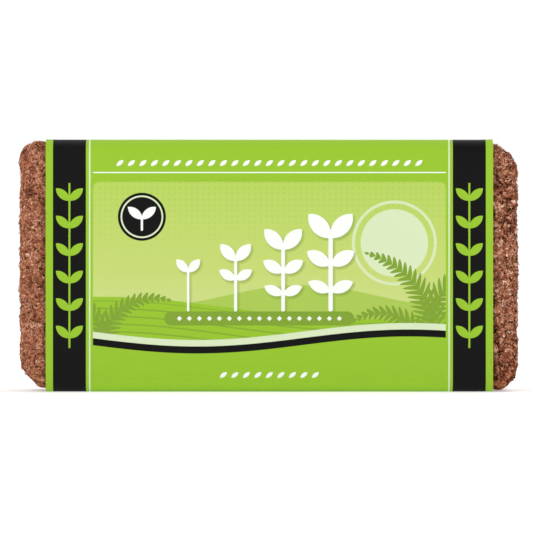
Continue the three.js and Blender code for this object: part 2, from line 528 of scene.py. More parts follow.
class Graph:
    """The nodes of a material or of the world. Those of a print are added as ink is laid.

    The numbers are those of a Mix node's sockets for colours.
    """

    MIX_UNDER = 6
    MIX_OVER = 7
    MIX_RESULT = 2

    def __init__(self, owner: bpy.types.Material | bpy.types.World) -> None:
        """Empties the owner's nodes.

        Args:
            owner: the material or the world.
        """
        owner.use_nodes = True
        self.owner = owner
        self.tree = owner.node_tree
        self.tree.nodes.clear()

    def node(self, kind: str, settings: dict, sockets: dict) -> bpy.types.Node:
        """Adds a node, sets it up, and then feeds its inputs.

        Args:
            kind: the node's type.
            settings: its properties; "stops" holds a ramp's places and colours.
            sockets: a value or a link for each input, by name or number.

        Returns:
            The node.
        """
        node = self.tree.nodes.new(kind)
        for key, value in settings.items():
            if key == "stops":
                self.set_stops(node.color_ramp.elements, value)
            else:
                setattr(node, key, value)
        for key, value in sockets.items():
            source = value.socket if isinstance(value, Term) else value
            if isinstance(source, bpy.types.NodeSocket):
                self.tree.links.new(source, node.inputs[key])
            else:
                node.inputs[key].default_value = source
        return node

    @staticmethod
    def set_stops(elements: bpy.types.ColorRampElements, stops: list) -> None:
        """Sets a ramp's stops.

        Args:
            elements: the ramp's first two stops.
            stops: the place and colour of each stop, in order.
        """
        while len(elements) < len(stops):
            elements.new(1.0)
        for element, (place, colour) in zip(elements, stops):
            element.position = place
            element.color = colour

    def maths(self, operation: str, *values: Number, clamp: bool = False) -> Term:
        """Adds a Math node, whose result is kept from 0 to 1 where clamp is set."""
        settings = {"operation": operation, "use_clamp": clamp}
        return Term(self, self.node("ShaderNodeMath", settings, dict(enumerate(values))).outputs[0])

    def vectors(self, operation: str, *values: object) -> bpy.types.Node:
        """Adds a Vector Math node."""
        return self.node("ShaderNodeVectorMath", {"operation": operation}, dict(enumerate(values)))

    def mix(self, factor: Number, under: object, over: object) -> bpy.types.NodeSocket:
        """Lays one colour over another.

        Args:
            factor: how much of the upper one, from 0 to 1.
            under: the lower colour, or a link that holds it.
            over: the upper colour, or a link that holds it.

        Returns:
            The colour.
        """
        settings = {"data_type": "RGBA", "clamp_factor": True}
        sockets = {0: factor, self.MIX_UNDER: under, self.MIX_OVER: over}
        return self.node("ShaderNodeMix", settings, sockets).outputs[self.MIX_RESULT]

    def split(self, place: object) -> tuple[Term, Term]:
        """Gives a vector's X and Y."""
        parts = self.node("ShaderNodeSeparateXYZ", {}, {0: place}).outputs
        return Term(self, parts[0]), Term(self, parts[1])

    def joined(self, x: Number, y: Number) -> bpy.types.NodeSocket:
        """Makes a flat vector of its X and Y."""
        return self.node("ShaderNodeCombineXYZ", {}, {0: x, 1: y}).outputs[0]

    def length(self, vector: object) -> Term:
        """Gives a vector's length."""
        return Term(self, self.vectors("LENGTH", vector).outputs[1])

    def ramp(self, factor: Number, stops: list[tuple[float, Colour]]) -> bpy.types.NodeSocket:
        """Looks a number up in a row of colours and gives the colour there."""
        return self.node("ShaderNodeValToRGB", {"stops": stops}, {0: factor}).outputs[0]

    def attribute(self, name: str) -> Term:
        """Reads a number that the piece's vertices hold."""
        return Term(self, self.node("ShaderNodeAttribute", {"attribute_name": name}, {}).outputs[2])

    def object_place(self) -> bpy.types.NodeSocket:
        """Gives the place on the object in millimetres."""
        sockets = {0: self.node("ShaderNodeTexCoord", {}, {}).outputs["Object"], "Scale": 1.0 / MM}
        return self.node("ShaderNodeVectorMath", {"operation": "SCALE"}, sockets).outputs[0]

    def noise(self, place: object, width: float, detail: float = 2.0) -> Term:
        """Adds noise from 0 to 1, with features of that width and so many finer layers."""
        sockets = {"Vector": place, "Scale": 1.0 / width, "Detail": detail, "Roughness": 0.6}
        return Term(self, self.node("ShaderNodeTexNoise", {}, sockets).outputs[0])

    def cells(self, place: object, per_mm: float) -> tuple[Term, Term, Term]:
        """Splits space into irregular cells.

        Args:
            place: where to read them.
            per_mm: how many there are to a millimetre.

        Returns:
            The distance to a cell's middle in widths, and two random numbers that it owns.
        """
        sockets = {"Vector": place, "Scale": per_mm, "Randomness": 1.0}
        cells = self.node("ShaderNodeTexVoronoi", {}, sockets).outputs
        owned = self.node("ShaderNodeSeparateColor", {}, {0: cells["Color"]}).outputs
        return Term(self, cells[0]), Term(self, owned[0]), Term(self, owned[1])

    def bump(self, height: Number, distance: float, strength: float) -> bpy.types.NodeSocket:
        """Turns a height from 0 to 1 into a normal, where 1 is so many millimetres high."""
        sockets = {"Height": height, "Distance": distance * MM, "Strength": strength}
        return self.node("ShaderNodeBump", {}, sockets).outputs[0]

    def surface(
        self, colour: object, roughness: Number, gloss: float, **sockets: object
    ) -> bpy.types.Material:
        """Ends the graph with its surface shader.

        Args:
            colour: its colour.
            roughness: its roughness.
            gloss: its specular level.
            **sockets: the shader's other inputs, with _ for the spaces in their names.

        Returns:
            The finished material.
        """
        named = {key.replace("_", " "): value for key, value in sockets.items()}
        named |= {"Base Color": colour, "Roughness": roughness, "Specular IOR Level": gloss}
        shader = self.node("ShaderNodeBsdfPrincipled", {}, named)
        self.node("ShaderNodeOutputMaterial", {}, {"Surface": shader.outputs[0]})
        return self.owner


class Tone(Enum):
    """The colours of coir pith and fibre in sRGB, and the shade painted into the hollows."""

    # painted shade: the darkest brown, laid in the hollows and pits between the grains
    CREVICE_SHADE = (56, 24, 14)
    DARK = (118, 61, 39)
    BROWN = (163, 97, 70)
    WARM = (187, 119, 90)
    LIGHT = (214, 152, 122)
    PALE = (244, 206, 180)
    OCHRE = (206, 150, 96)

    @property
    def rgba(self) -> Colour:
        """Gives the colour as the renderer needs it."""
        return linear(self.value)


@dataclass(frozen=True)
class CoirFinish:
    """What all the coir's finishes share: a row of tones, and how they change over the brick.

    Towards the rougher right end the tones spread further apart. Towards the lower right
    corner, where the brick was damp, they are darker and warmer.
    """

    name: str
    stops: tuple[tuple[float, Tone], ...]
    roughness: float
    gloss: float = 0.15

    MIDDLE_TONE = 0.55
    LIGHTER = 0.03
    SPREAD = 1.1
    MORE_SPREAD = 0.25
    SPREAD_RUN = 60.0
    DAMP_CORNER = (103.0, -22.0, -3.0)
    DAMP_REACH = 30.0
    DAMP_TINT = (0.62, 0.37, 0.19)
    DAMP_BLOTCH = 9.0
    DAMP_UNEVEN = 0.6

    def toned(self, graph: Graph, place: object, tone: Term) -> bpy.types.NodeSocket:
        """Picks the colours of a tone.

        Args:
            graph: the material's nodes.
            place: the place on the brick.
            tone: the tone, from 0 to 1.

        Returns:
            The dry colour.
        """
        rightness = graph.split(place)[0].fade(1.0 / self.SPREAD_RUN)
        spread = rightness * self.MORE_SPREAD + self.SPREAD
        tone = (tone - self.MIDDLE_TONE) * spread + (self.MIDDLE_TONE + self.LIGHTER)
        return graph.ramp(tone, [(at, shade.rgba) for at, shade in self.stops])

    def dampened(self, graph: Graph, place: object, colour: object) -> bpy.types.NodeSocket:
        """Darkens and warms the damp corner.

        Args:
            graph: the material's nodes.
            place: the place on the brick.
            colour: the dry colour.

        Returns:
            The colour.
        """
        away = Term(graph, graph.vectors("DISTANCE", place, self.DAMP_CORNER).outputs[1])
        uneven = (graph.noise(place, self.DAMP_BLOTCH) - 0.5) * self.DAMP_UNEVEN
        dampness = (away / self.DAMP_REACH + uneven).fade(-1.0, 1.0)
        damp = graph.vectors("MULTIPLY", colour, self.DAMP_TINT).outputs[0]
        return graph.mix(dampness, colour, damp)


@dataclass(frozen=True)
class PithFinish(CoirFinish):
    """Pressed coir pith: dull brown grains, with painted shade in the hollows between them."""

    grain: float = 1.25
    speck: float = 0.34
    patch: float = 13.0
    dust: float = 0.16

    GRAIN_SHARE = 0.30
    SPECK_SHARE = 0.86
    PATCH_SHARE = 0.18
    HOLLOW_SHADE_SHARE = 0.9
    DARKER = 0.565
    GOLDEN_FROM = 0.94
    GOLDEN_SHARE = 0.55
    DARK_TO = 0.05
    DARK_SHARE = 0.65

    def material(self) -> bpy.types.Material:
        """Makes the material: a tone from grains, specks and patches, and painted shade in hollows.

        Returns:
            The material.
        """
        graph = Graph(bpy.data.materials.new(self.name))
        place = graph.object_place()
        _, own, odd = graph.cells(place, 1.0 / self.grain)
        specks = graph.noise(place, self.speck, 3.0)
        patches = graph.noise(place, self.patch)
        # painted shade: the relief's height lightens the raised grains and darkens the hollows
        height = graph.attribute("height")
        tone = own * self.GRAIN_SHARE + specks * self.SPECK_SHARE + patches * self.PATCH_SHARE
        tone = tone + height * self.HOLLOW_SHADE_SHARE - self.DARKER
        colour = self.toned(graph, place, tone)
        golden = graph.maths("GREATER_THAN", odd, self.GOLDEN_FROM)
        colour = graph.mix(golden * self.GOLDEN_SHARE, colour, Tone.OCHRE.rgba)
        # painted shade: a few random cells take the crevice shade, as dark pits
        dark = graph.maths("LESS_THAN", odd, self.DARK_TO)
        colour = graph.mix(dark * self.DARK_SHARE, colour, Tone.CREVICE_SHADE.rgba)
        colour = self.dampened(graph, place, colour)
        dust = graph.noise(place, self.dust)
        normal = graph.bump(dust + specks, distance=0.16, strength=0.8)
        return graph.surface(colour, self.roughness, self.gloss, Normal=normal)


@dataclass(frozen=True)
class ShredFinish(CoirFinish):
    """Loose grains or fibres of coir, each of one tone that its own number picks."""

    streak: float = 0.5
    streak_share: float = 0.3

    def material(self) -> bpy.types.Material:
        """Makes the material: a tone for each shred, a little uneven along it.

        Returns:
            The material.
        """
        graph = Graph(bpy.data.materials.new(self.name))
        place = graph.object_place()
        uneven = graph.noise(place, self.streak)
        tone = graph.attribute("own") + (uneven - 0.5) * self.streak_share
        colour = self.dampened(graph, place, self.toned(graph, place, tone))
        normal = graph.bump(uneven, distance=0.05, strength=0.6)
        return graph.surface(colour, self.roughness, self.gloss, Normal=normal)


PITH_TONES = (
    (0.0, Tone.CREVICE_SHADE),
    (0.22, Tone.DARK),
    (0.45, Tone.BROWN),
    (0.66, Tone.WARM),
    (0.84, Tone.LIGHT),
    (1.0, Tone.PALE),
)
GRAIN_TONES = (
    (0.0, Tone.CREVICE_SHADE),
    (0.16, Tone.DARK),
    (0.4, Tone.BROWN),
    (0.62, Tone.WARM),
    (0.8, Tone.LIGHT),
    (0.86, Tone.OCHRE),
    (0.91, Tone.LIGHT),
    (1.0, Tone.PALE),
)
FIBRE_TONES = (
    (0.0, Tone.DARK),
    (0.22, Tone.BROWN),
    (0.5, Tone.WARM),
    (0.72, Tone.LIGHT),
    (0.8, Tone.OCHRE),
    (1.0, Tone.PALE),
)
PITH_FINISH = PithFinish("coir_pith", PITH_TONES, roughness=0.95, gloss=0.1)
GRAIN_FINISH = ShredFinish("coir_grain", GRAIN_TONES, roughness=0.95)
FIBRE_FINISH = ShredFinish("coir_fibre", FIBRE_TONES, roughness=0.7, streak=1.2)


@dataclass
class PressedCoir:
    """The brick's own surface, fine on the bare ends and coarse under the card."""

    shape: CoirShape
    step: float = 0.47
    fine_run: float = 13.5
    middle_steps: int = 8
    rim_rows: int = 12
    relief_span: float = 1.2

    def stations(self) -> Array:
        """Places the rings of vertices along the brick.

        Returns:
            Their X, fine near both ends.
        """
        near = np.linspace(0.0, self.fine_run, round(self.fine_run / self.step) + 1)
        left = self.shape.low[0] + near
        right = self.shape.high[0] - near[::-1]
        middle = np.linspace(left[-1], right[0], self.middle_steps + 1)[1:-1]
        return np.concatenate([left, middle, right])

    def rows(self) -> tuple[Array, Array]:
        """Places the rows across the depth, by angle round each rim and evenly between.

        Returns:
            Their Y, and how far the outline is drawn in there.
        """
        shape = self.shape
        angle = np.linspace(math.pi / 2.0, 0.0, self.rim_rows + 1)[:-1]
        front = shape.low[1] + shape.rim * (1.0 - np.sin(angle))
        drawn = shape.rim * (1.0 - np.cos(angle))
        count = round((2.0 * shape.half[1] - 2.0 * shape.rim) / self.step)
        flat = np.linspace(shape.low[1] + shape.rim, shape.high[1] - shape.rim, count + 1)
        back = 2.0 * shape.middle[1] - front[::-1]
        inset = np.concatenate([drawn, np.zeros(count + 1), drawn[::-1]])
        return np.concatenate([front, flat, back]), inset

    def rounded(self, x: Array, z: Array, inset: Array) -> tuple[Array, Array]:
        """Moves places of the bounding rectangle to the outline with round corners.

        A square patch at each corner becomes a quarter disc: a place keeps its share of the
        way to the patch's edge, and takes the same share of the radius.

        Args:
            x: places along the brick.
            z: heights.
            inset: how far the outline is drawn in at each.

        Returns:
            The new places and heights.
        """
        shape = self.shape
        places = np.stack([x, np.zeros_like(x), z], axis=-1)
        radius = shape.corner_radius(places) - inset
        across, up = x - shape.middle[0], z - shape.middle[2]
        wide, tall = shape.half[0], shape.half[2]
        px = np.abs(across) * (1.0 - inset / wide)
        pz = np.abs(up) * (1.0 - inset / tall)
        centre_x, centre_z = wide - inset - radius, tall - inset - radius
        dx, dz = (px - centre_x) / radius, (pz - centre_z) / radius
        in_patch = (dx > 0.0) & (dz > 0.0)
        reach = np.maximum(dx, dz) / np.maximum(np.hypot(dx, dz), 1e-9)
        px = np.where(in_patch, centre_x + radius * dx * reach, px)
        pz = np.where(in_patch, centre_z + radius * dz * reach, pz)
        return shape.middle[0] + np.sign(across) * px, shape.middle[2] + np.sign(up) * pz

    @staticmethod
    def box_grid(steps: tuple[int, int, int]) -> tuple[Array, Array]:
        """Makes a grid over the six sides of a box, with the sides' edges shared.

        Args:
            steps: how many squares there are along X, Y and Z.

        Returns:
            The vertices' whole places along X, Y and Z, and the squares, facing out.
        """
        places, sides, start = [], [], 0
        for axis, end in itertools.product(range(3), (0, 1)):
            b, c = (axis + 1) % 3, (axis + 2) % 3
            nb, nc = steps[b] + 1, steps[c] + 1
            side = np.zeros((nb, nc, 3), int)
            side[..., axis] = end * steps[axis]
            side[..., b] = np.arange(nb)[:, None]
            side[..., c] = np.arange(nc)[None, :]
            number = start + np.arange(nb * nc).reshape(nb, nc)
            ring = [number[:-1, :-1], number[1:, :-1], number[1:, 1:], number[:-1, 1:]]
            sides.append(squares(*(ring if end else ring[::-1])))
            places.append(side.reshape(-1, 3))
            start += nb * nc
        stacked = np.concatenate(places)
        code = np.ravel_multi_index(stacked.T, [n + 1 for n in steps])
        _, first, shared = np.unique(code, return_index=True, return_inverse=True)
        return stacked[first], shared[np.concatenate(sides)]

    def build(self) -> "Bed":
        """Builds the surface: the box's grid is rounded, and then raised to the rough coir.

        Returns:
            What the shreds are scattered over.
        """
        shape = self.shape
        stations = self.stations()
        rows, drawn = self.rows()
        tall = round(2.0 * shape.half[2] / self.step)
        steps = (len(stations) - 1, len(rows) - 1, tall)
        grid, faces = self.box_grid(steps)
        levels = np.linspace(shape.low[2], shape.high[2], tall + 1)
        inset = drawn[grid[:, 1]]
        x, z = self.rounded(stations[grid[:, 0]], levels[grid[:, 2]], inset)
        rough, _, fine = shape.surface(np.stack([x, rows[grid[:, 1]], z], axis=-1))
        piece = make_piece("pressed_coir", rough, [faces], COIR_SLOT, PITH_FINISH.material())
        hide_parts(COIR_NODE)
        # the fine relief's height: the pith's finish and the shreds' tones paint shade into the
        # hollows with it
        heights = np.clip(0.5 + fine / self.relief_span, 0.0, 1.0)
        add_values(piece, "height", heights)
        add_map(piece, "OFBake", self.picture(steps, grid[faces]))
        return Bed(shape, rough, faces, heights)

    @staticmethod
    def picture(steps: tuple[int, int, int], faces: Array) -> Array:
        """Lays the box's six sides out in the OFBake map's square, in three rows.

        Every square of the grid takes the same room, so the bare ends get the most of it.

        Args:
            steps: how many squares there are along X, Y and Z.
            faces: the whole places of each square's corners, side by side of the box.

        Returns:
            The place of each corner in the picture.
        """
        nx, ny, nz = steps
        gap = 1.5
        second, third = 2.0 * gap + nz, 3.0 * gap + nz + nx
        sides = (
            ((1, 2), (ny, 0), (0, nz), (gap, gap)),
            ((1, 2), (0, 0), (ny, nz), (2.0 * gap + ny, gap)),
            ((0, 2), (0, 0), (nx, nz), (3.0 * gap + 2 * ny, gap)),
            ((2, 0), (0, 0), (nz, nx), (gap, second)),
            ((1, 0), (0, 0), (ny, nx), (2.0 * gap + nz, second)),
            ((1, 0), (ny, 0), (0, nx), (gap, third)),
        )
        laid, start = [], 0
        for axes, low, high, corner in sides:
            size = np.abs(np.subtract(high, low))
            part = faces[start:start + size.prod()]
            laid.append(Patch(axes, low, high, corner, tuple(size)).lay(part))
            start += len(part)
        return np.concatenate(laid) / (third + nx + gap)


@dataclass
class Seat:
    """Places on the bare coir that shreds lie on, the way out there, and how high they are."""

    places: Array
    normals: Array
    heights: Array

    TONE_SPREAD = 0.95
    HOLLOW_SHADE_BY_HEIGHT = 0.38
    TONE_DROP = 0.165

    def tones(self, rng: Random) -> Array:
        """Draws a number from 0 to 1 for each shred's tone, lower in the hollows as painted shade.
        """
        tones = self.TONE_SPREAD * rng.random(len(self.heights)) + self.HOLLOW_SHADE_BY_HEIGHT * self.heights
        return np.clip(tones - self.TONE_DROP, 0.0, 1.0)

    def tangents(self, rng: Random, layering: float) -> tuple[Array, Array]:
        """Draws a direction in the surface at each seat.

        Args:
            rng: the random numbers.
            layering: share of the front-to-back part that is left by the press.

        Returns:
            Unit vectors along the surface, and others across them.
        """
        free = rng.normal(size=self.places.shape) * np.array([1.0, layering, 1.0])
        free -= (free * self.normals).sum(axis=-1, keepdims=True) * self.normals
        return unit(free), np.cross(self.normals, unit(free))


@dataclass
class Bed:
    """The finished surface of the coir, for shreds to lie on."""

    shape: CoirShape
    vertices: Array
    faces: Array
    heights: Array

    def seats(self, count: int, margin: float, lean: float, rng: Random) -> Seat:
        """Draws squares of the bare coir at random, each as likely as its area.

        Args:
            count: how many to draw.
            margin: how far past the sleeve's mouths a seat has to be.
            lean: how much likelier the right end is than an even draw, and the left less.
            rng: the random numbers.

        Returns:
            The middles of the squares.
        """
        corners = self.vertices[self.faces]
        centres = corners.mean(axis=1)
        across = np.cross(corners[:, 2] - corners[:, 0], corners[:, 3] - corners[:, 1])
        area = np.linalg.norm(across, axis=-1) * (self.shape.past_mouth(centres) > margin)
        area *= 1.0 + lean * np.sign(centres[:, 0])
        chosen = rng.choice(len(centres), count, replace=False, p=area / area.sum())
        heights = self.heights[self.faces[chosen]].mean(axis=1)
        return Seat(centres[chosen], unit(across[chosen]), heights)


@dataclass
class Shreds:
    """Loose stuff on the bare coir: what grains and fibres share."""

    name: str
    count: int
    seed: int

    def make(
        self, places: Array, faces: list[Array], tones: Array, finish: ShredFinish
    ) -> bpy.types.Object:
        """Makes the piece.

        Args:
            places: its vertices, shred by shred.
            faces: its faces.
            tones: a number for each shred's tone.
            finish: its finish.

        Returns:
            The piece.
        """
        vertices = places.reshape(-1, 3)
        piece = make_piece(self.name, vertices, faces, COIR_SLOT, finish.material())
        add_values(piece, "own", np.repeat(tones, len(vertices) // len(tones)))
        return piece


@dataclass
class Grains(Shreds):
    """Loose grains of pith, half sunk in the coir: rough lumps, of 8 sides where sharp."""

    least: float
    most: float
    slimmest: float = 1.0
    longest: float = 2.0
    flatness: float = 0.6
    layering: float = 0.6
    sunk: float = 0.1
    tilt: float = 0.2
    skew: float = 0.0
    lean: float = 0.0
    margin: float = -0.7
    sharp: bool = False
    smallness: float = 2.2
    uneven: tuple[float, float] = (0.62, 1.18)
    breadths: tuple[float, float] = (0.7, 1.0)
    heights: tuple[float, float] = (0.8, 1.2)

    def lump(self) -> tuple[Array, Array]:
        """Makes a regular solid of 20 sides, or one of 8 for a sharp grain.

        The corners are (0, 1, g) with every sign and turned round the axes, where g is the
        golden section, or (0, 0, 1) for the 8 sides. Three corners make a side where each
        pair is as close as two corners come.

        Returns:
            Its corners, 1 from the middle, and its sides, facing out.
        """
        golden = (1.0 + math.sqrt(5.0)) / 2.0
        signs = (-1.0, 1.0)
        round_heads = [(0.0, a, b * golden) for a in signs for b in signs]
        heads = [(0.0, 0.0, a) for a in signs] if self.sharp else round_heads
        corners = np.array([np.roll(head, turn) for head in heads for turn in range(3)])
        triples = np.array(list(itertools.combinations(range(len(corners)), 3)))
        spans = np.linalg.norm(corners[triples] - corners[np.roll(triples, 1, axis=1)], axis=-1)
        longest_side = 1.1 * spans.min()
        sides = triples[(spans < longest_side).all(axis=1)]
        a, b, c = (corners[sides[:, i]] for i in range(3))
        inward = (np.cross(b - a, c - a) * a).sum(axis=-1) < 0.0
        sides[inward] = sides[inward][:, ::-1]
        return unit(corners), sides

    def build(self, bed: Bed) -> None:
        """Builds the grains: each lump is made uneven, flattened, turned and set on its seat.

        Args:
            bed: what they lie on.
        """
        rng = np.random.default_rng(self.seed)
        seat = bed.seats(self.count, self.margin, self.lean, rng)
        seat.normals = unit(seat.normals + self.tilt * rng.normal(size=seat.normals.shape))
        corners, sides = self.lump()
        along, across = seat.tangents(rng, self.layering)
        radius = self.least + (self.most - self.least) * rng.random(self.count) ** self.smallness
        lumps = corners * rng.uniform(*self.uneven, (self.count, len(corners), 1))
        ranges = ((self.slimmest, self.longest), self.breadths, self.heights)
        stretch = np.stack([rng.uniform(*ends, self.count) for ends in ranges], axis=-1)
        stretch[:, 2] *= self.flatness
        lumps = lumps + self.skew * rng.normal(size=lumps.shape)
        local = lumps * (stretch * radius[:, None])[:, None, :]
        turned = local[..., :1] * along[:, None] + local[..., 1:2] * across[:, None]
        turned += local[..., 2:] * seat.normals[:, None]
        middle = seat.places - seat.normals * (self.sunk * radius)[:, None]
        places = bed.shape.off_floor(bed.shape.tucked(middle[:, None] + turned))
        faces = sides[None] + len(corners) * np.arange(self.count)[:, None, None]
        piece = self.make(places, [faces.reshape(-1, 3)], seat.tones(rng), GRAIN_FINISH)
        piece.data.shade_flat()


@dataclass
class Fibres(Shreds):
    """Curved shreds of husk fibre that lie on the coir and in it."""

    shortest: float
    longest: float
    thinnest: float
    thickest: float
    sides: int = 3
    stations: int = 7
    bend: float = 0.16
    layering: float = 0.4
    margin: float = 0.3
    loose: float = 0.2
    sway: float = 0.07
    fineness: float = 0.35
    lift: tuple[float, float] = (0.12, 0.34)
    sunk: float = 0.26
    standing: tuple[float, float] = (0.3, 1.1)
    taper: float = 0.72

    def routes(self, bed: Bed, rng: Random) -> tuple[Array, Array, Array]:
        """Lays a bent line along the coir from each seat, and keeps those clear of the card.

        A line leaves its seat both ways along the surface, bends sideways with the square of
        the distance and sways with its sine. It is then settled on the smooth brick and
        raised to the coir: a little above it in the middle and sunk at its ends, apart from
        the loose ones, whose far end stands off.

        Args:
            bed: what they lie on.
            rng: the random numbers.

        Returns:
            The lines' places, the way out at each, and a number for each line's tone.
        """

        def drawn(low: float, high: float) -> Array:
            """Draws a number for each line."""
            return rng.uniform(low, high, self.count)[:, None]

        shape = bed.shape
        seat = bed.seats(self.count, self.margin, 0.0, rng)
        along, across = seat.tangents(rng, self.layering)
        length = drawn(self.shortest, self.longest)
        t = np.linspace(-0.5, 0.5, self.stations)
        run = length * t
        bend = rng.normal(0.0, self.bend, self.count)[:, None]
        sway = drawn(0.0, self.sway) * length
        phase = drawn(0.0, math.tau)
        aside = 0.5 * bend * run**2 + sway * np.sin(math.tau * t + phase)
        line = seat.places[:, None] + run[..., None] * along[:, None]
        line = line + aside[..., None] * across[:, None]
        rough, normals, _ = shape.surface(shape.settle(line), self.fineness)
        lift = drawn(*self.lift) - self.sunk * (2.0 * t) ** 4
        is_loose = (rng.random(self.count) < self.loose)[:, None]
        lift = lift + is_loose * drawn(*self.standing) * (t + 0.5) ** 2
        places = shape.off_floor(rough + normals * lift[..., None], self.thickest)
        clear = (shape.past_mouth(places) > self.margin).all(axis=1)
        return places[clear], normals[clear], seat.tones(rng)[clear]

    def build(self, bed: Bed) -> None:
        """Builds the fibres: a ring of vertices is carried along each line and closed at its ends.

        Args:
            bed: what they lie on.
        """
        rng = np.random.default_rng(self.seed)
        lines, normals, tones = self.routes(bed, rng)
        forward = unit(np.gradient(lines, axis=1))
        aside = unit(np.cross(forward, normals))
        upward = np.cross(aside, forward)
        t = np.linspace(-1.0, 1.0, self.stations)
        radius = rng.uniform(self.thinnest, self.thickest, len(lines))[:, None] / 2.0
        radius = radius * (1.0 - self.taper * np.abs(t) ** 3)
        angle = math.tau * np.arange(self.sides)[:, None] / self.sides
        ring = np.cos(angle) * aside[:, :, None] + np.sin(angle) * upward[:, :, None]
        places = lines[:, :, None] + radius[..., None, None] * ring
        number = np.arange(places.size // 3).reshape(places.shape[:-1])
        after = np.roll(number, -1, axis=2)
        walls = squares(number[:, :-1], number[:, 1:], after[:, 1:], after[:, :-1])
        self.make(places, [walls, number[:, 0], number[:, -1, ::-1]], tones, FIBRE_FINISH)


@dataclass
class CoirBrick:
    """The coir: its pressed surface, and the grains, crumbs and fibres on its bare ends."""

    shape: CoirShape

    def build(self) -> None:
        """Builds the surface first, because the shreds are scattered over it."""
        bed = PressedCoir(self.shape).build()
        shreds = [
            Grains("coir_grains", count=6000, seed=11, least=0.26, most=0.6),
            Grains(
                "coir_grit", count=24500, seed=17, least=0.22, most=0.46,
                longest=1.6, sunk=0.0, tilt=0.5, skew=0.16, sharp=True,
            ),
            Grains(
                "coir_dust", count=9500, seed=19, least=0.18, most=0.34,
                longest=1.5, sunk=-0.2, tilt=0.5, skew=0.14, sharp=True,
            ),
            Grains(
                "coir_chaff", count=24000, seed=15, least=0.2, most=0.36,
                slimmest=1.8, longest=4.2, flatness=0.7, skew=0.12, sharp=True,
            ),
            Grains(
                "coir_flakes", count=3700, seed=18, least=0.42, most=0.8,
                slimmest=1.1, flatness=0.3, sunk=-0.1, tilt=0.42, lean=0.6, margin=1.0,
            ),
            Grains(
                "coir_crumbs", count=520, seed=12, least=0.6, most=1.0,
                longest=1.5, flatness=0.45, lean=0.6, margin=1.2,
            ),
            Fibres(
                "coir_flecks", count=5200, seed=16, shortest=0.9, longest=2.1,
                thinnest=0.24, thickest=0.46, stations=4, layering=0.8,
            ),
            Fibres(
                "coir_fibres", count=2200, seed=13, shortest=1.6, longest=4.2,
                thinnest=0.18, thickest=0.34, bend=0.22,
            ),
            Fibres(
                "coir_strands", count=110, seed=14, shortest=5.0, longest=10.0,
                thinnest=0.24, thickest=0.38, sides=5, stations=14, bend=0.09,
            ),
        ]
        for shred in shreds:
            shred.build(bed)


class Ink(Enum):
    """The colours of the print and of the bare card, in sRGB."""

    LIME = (156, 200, 58)
    BLACK = (3, 8, 9)
    PANEL = (27, 28, 25)
    MIST = (224, 237, 201)
    SKY_TOP = (187, 214, 101)
    SKY_MIDDLE = (202, 219, 122)
    SKY_LOW = (214, 227, 158)
    HILL = (176, 205, 92)
    LEAF = (134, 167, 62)
    SHADE = (98, 132, 44)
    WHITE = (253, 254, 251)
    BOARD = (196, 184, 162)
    FLECK = (142, 124, 100)
    DUST = (128, 82, 60)

    @property
    def rgba(self) -> Colour:
        """Gives the colour as the renderer needs it, less the sheen that its gloss adds."""
        sheen, least = 0.012, 0.0012
        return (*(max(share - sheen, least) for share in linear(self.value)[:3]), 1.0)


